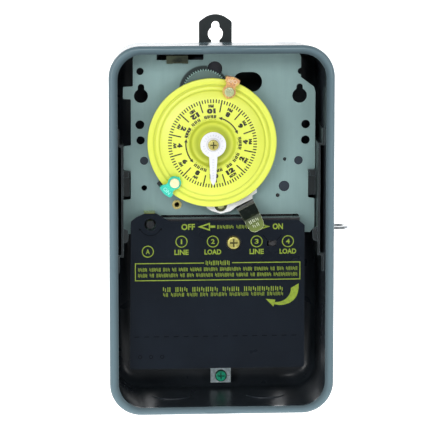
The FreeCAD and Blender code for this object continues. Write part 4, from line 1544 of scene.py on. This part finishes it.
@dataclass
class InsulatorScores:
    """Dark score line, pressed dots, slits and small arc of the wiring insulator."""

    face: float = 48.0 * MM
    score_z: float = -62.3 * MM
    score_x: float = -47.6 * MM
    score_pitch: float = 5.6 * MM
    score_count: int = 17
    dots: tuple[float, ...] = (-45.8, -39.6, -33.2)
    dots_z: float = -73.9 * MM

    def build(self, tool: BarTool, paint: Paintbox, body: str) -> bpy.types.Object:
        """Make the scores.

        Args:
            tool: The tree that lays bars.
            paint: The finishes.
            body: The body that the insulator belongs to.

        Returns:
            The piece.
        """
        marks = Marks(tool, 0.05 * MM)
        ink = paint["score_dark"]
        bars = [Bar(self.score_x + self.score_pitch * i, self.score_z, self.score_pitch / 2, 0.38 * MM)
                for i in range(self.score_count)]
        bars += [Bar(25.4 * MM, -5.75 * MM, 3.6 * MM, 0.30 * MM, -48.0),
                 Bar(33.5 * MM, -5.75 * MM, 3.8 * MM, 0.30 * MM, 48.0)]
        marks.bars(Seat(0.0, 0.0, self.face), bars, ink)
        pivot = Seat(-39.7 * MM, 2.35 * MM, self.face)
        marks.ring(pivot, 6.3 * MM, 0.34 * MM, 206.0, 128.0)
        for side in (-1.0, 1.0):
            marks.solid(pivot, [(side * 6.6 * MM, -2.0 * MM), (side * 5.1 * MM, -2.7 * MM),
                                (side * 6.2 * MM, -3.5 * MM)])
        for x in self.dots:
            seat = Seat(x * MM, self.dots_z, self.face)
            marks.ring(seat, 0.95 * MM, 0.30 * MM)
        return marks.finish("insulator_scores", ink, body)


@dataclass
class ReturnSpring:
    """Coil spring between the dial sleeve and the fixed pointer."""

    travel: float = 2.0 * MM

    def build(self, frame: dict, body: str) -> bpy.types.Object:
        """Copy the coil and let it ride with the dial sleeve.

        Args:
            frame: The loaded frame.
            body: The body that carries the spring.

        Returns:
            The piece.
        """
        node = frame["nodes"]["dial_return_spring"]
        piece = bpy.data.objects.new("return_coil", node.data.copy())
        bpy.context.scene.collection.objects.link(piece)
        part = bmesh.new()
        part.from_mesh(piece.data)
        bmesh.ops.remove_doubles(part, verts=part.verts, dist=0.001 * MM)
        part.to_mesh(piece.data)
        part.free()
        low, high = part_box("dial_return_spring")
        seat = Vector(((low[0] + high[0]) / 2, high[1], (low[2] + high[2]) / 2))
        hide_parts("dial_return_spring")
        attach(piece, body)
        1.0 - self.travel / (high[1] - low[1])
        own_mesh(piece)
        LOG.info("return_coil rides on %s", body)
        return piece


def host(frame: dict, node: str) -> str:
    """The body that a node belongs to.

    Args:
        frame: The loaded frame.
        node: The node's name.

    Returns:
        The body's name.
    """
    for body, nodes in frame["record"]["behaviour"]["bodies"].items():
        if node in nodes:
            return body
    raise KeyError(node)


OWN_FINISH: dict[str, str] = {
    "hasp_eye": "zinc_dark",
    "on_tripper_screw": "brass_pale",
    "insulator_pivot_pin": "pin_black",
    "insulator_hook": "hook_yellow",
    "ground_lug": "lug_zinc",
    "drive_gear": "gear_drive",
    "side_bracket_left": "bracket_dark",
    "side_bracket_right": "bracket_dark",
    "motor_strap": "strap_dark",
    "pointer_screw": "brass_pointer",
    "insulator_post_screw": "brass_post",
    "lever_stud": "brass_stud",
}


def dress_nodes(frame: dict, paint: Paintbox) -> None:
    """Give every carried-over node its own finish, or the one that the record names for it.

    Args:
        frame: The loaded frame.
        paint: The finishes.
    """
    slots = {s["node"]: s["material_slot"] for s in frame["record"]["subparts"]}
    slots |= OWN_FINISH
    for name, obj in frame["nodes"].items():
        finish = paint[slots[name]]
        if not obj.material_slots:
            obj.data.materials.append(finish)
        for slot in obj.material_slots:
            slot.material = finish
        LOG.info("dressed %s with %s", name, slots[name])


def main() -> None:
    """Build the scene in order."""
    logging.basicConfig(level=logging.INFO, format="%(name)s %(message)s")
    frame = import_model()
    paint = Paintbox()
    Studio().build()
    dress_nodes(frame, paint)
    tool = BarTool()
    DialFace().build(paint, host(frame, "dial_plate"))
    DialPrint().build(tool, paint, host(frame, "dial_plate"))
    PointerMarks().build(tool, paint, host(frame, "time_pointer"))
    TripperMarks("on_tripper_word", "ON", 225.6, "tripper_green", 4.6 * MM).build(
        tool, paint, host(frame, "on_tripper"))
    TripperMarks("off_tripper_word", "OFF", 72.5, "tripper_copper", 5.4 * MM).build(
        tool, paint, host(frame, "off_tripper"))
    LeverMarks().build(tool, paint, host(frame, "manual_lever"))
    InsulatorPrint().build(tool, paint, host(frame, "wiring_insulator"))
    InsulatorScores().build(tool, paint, host(frame, "wiring_insulator"))
    ReturnSpring().build(frame, host(frame, "dial_return_spring"))


if __name__ == "__main__":
    main()
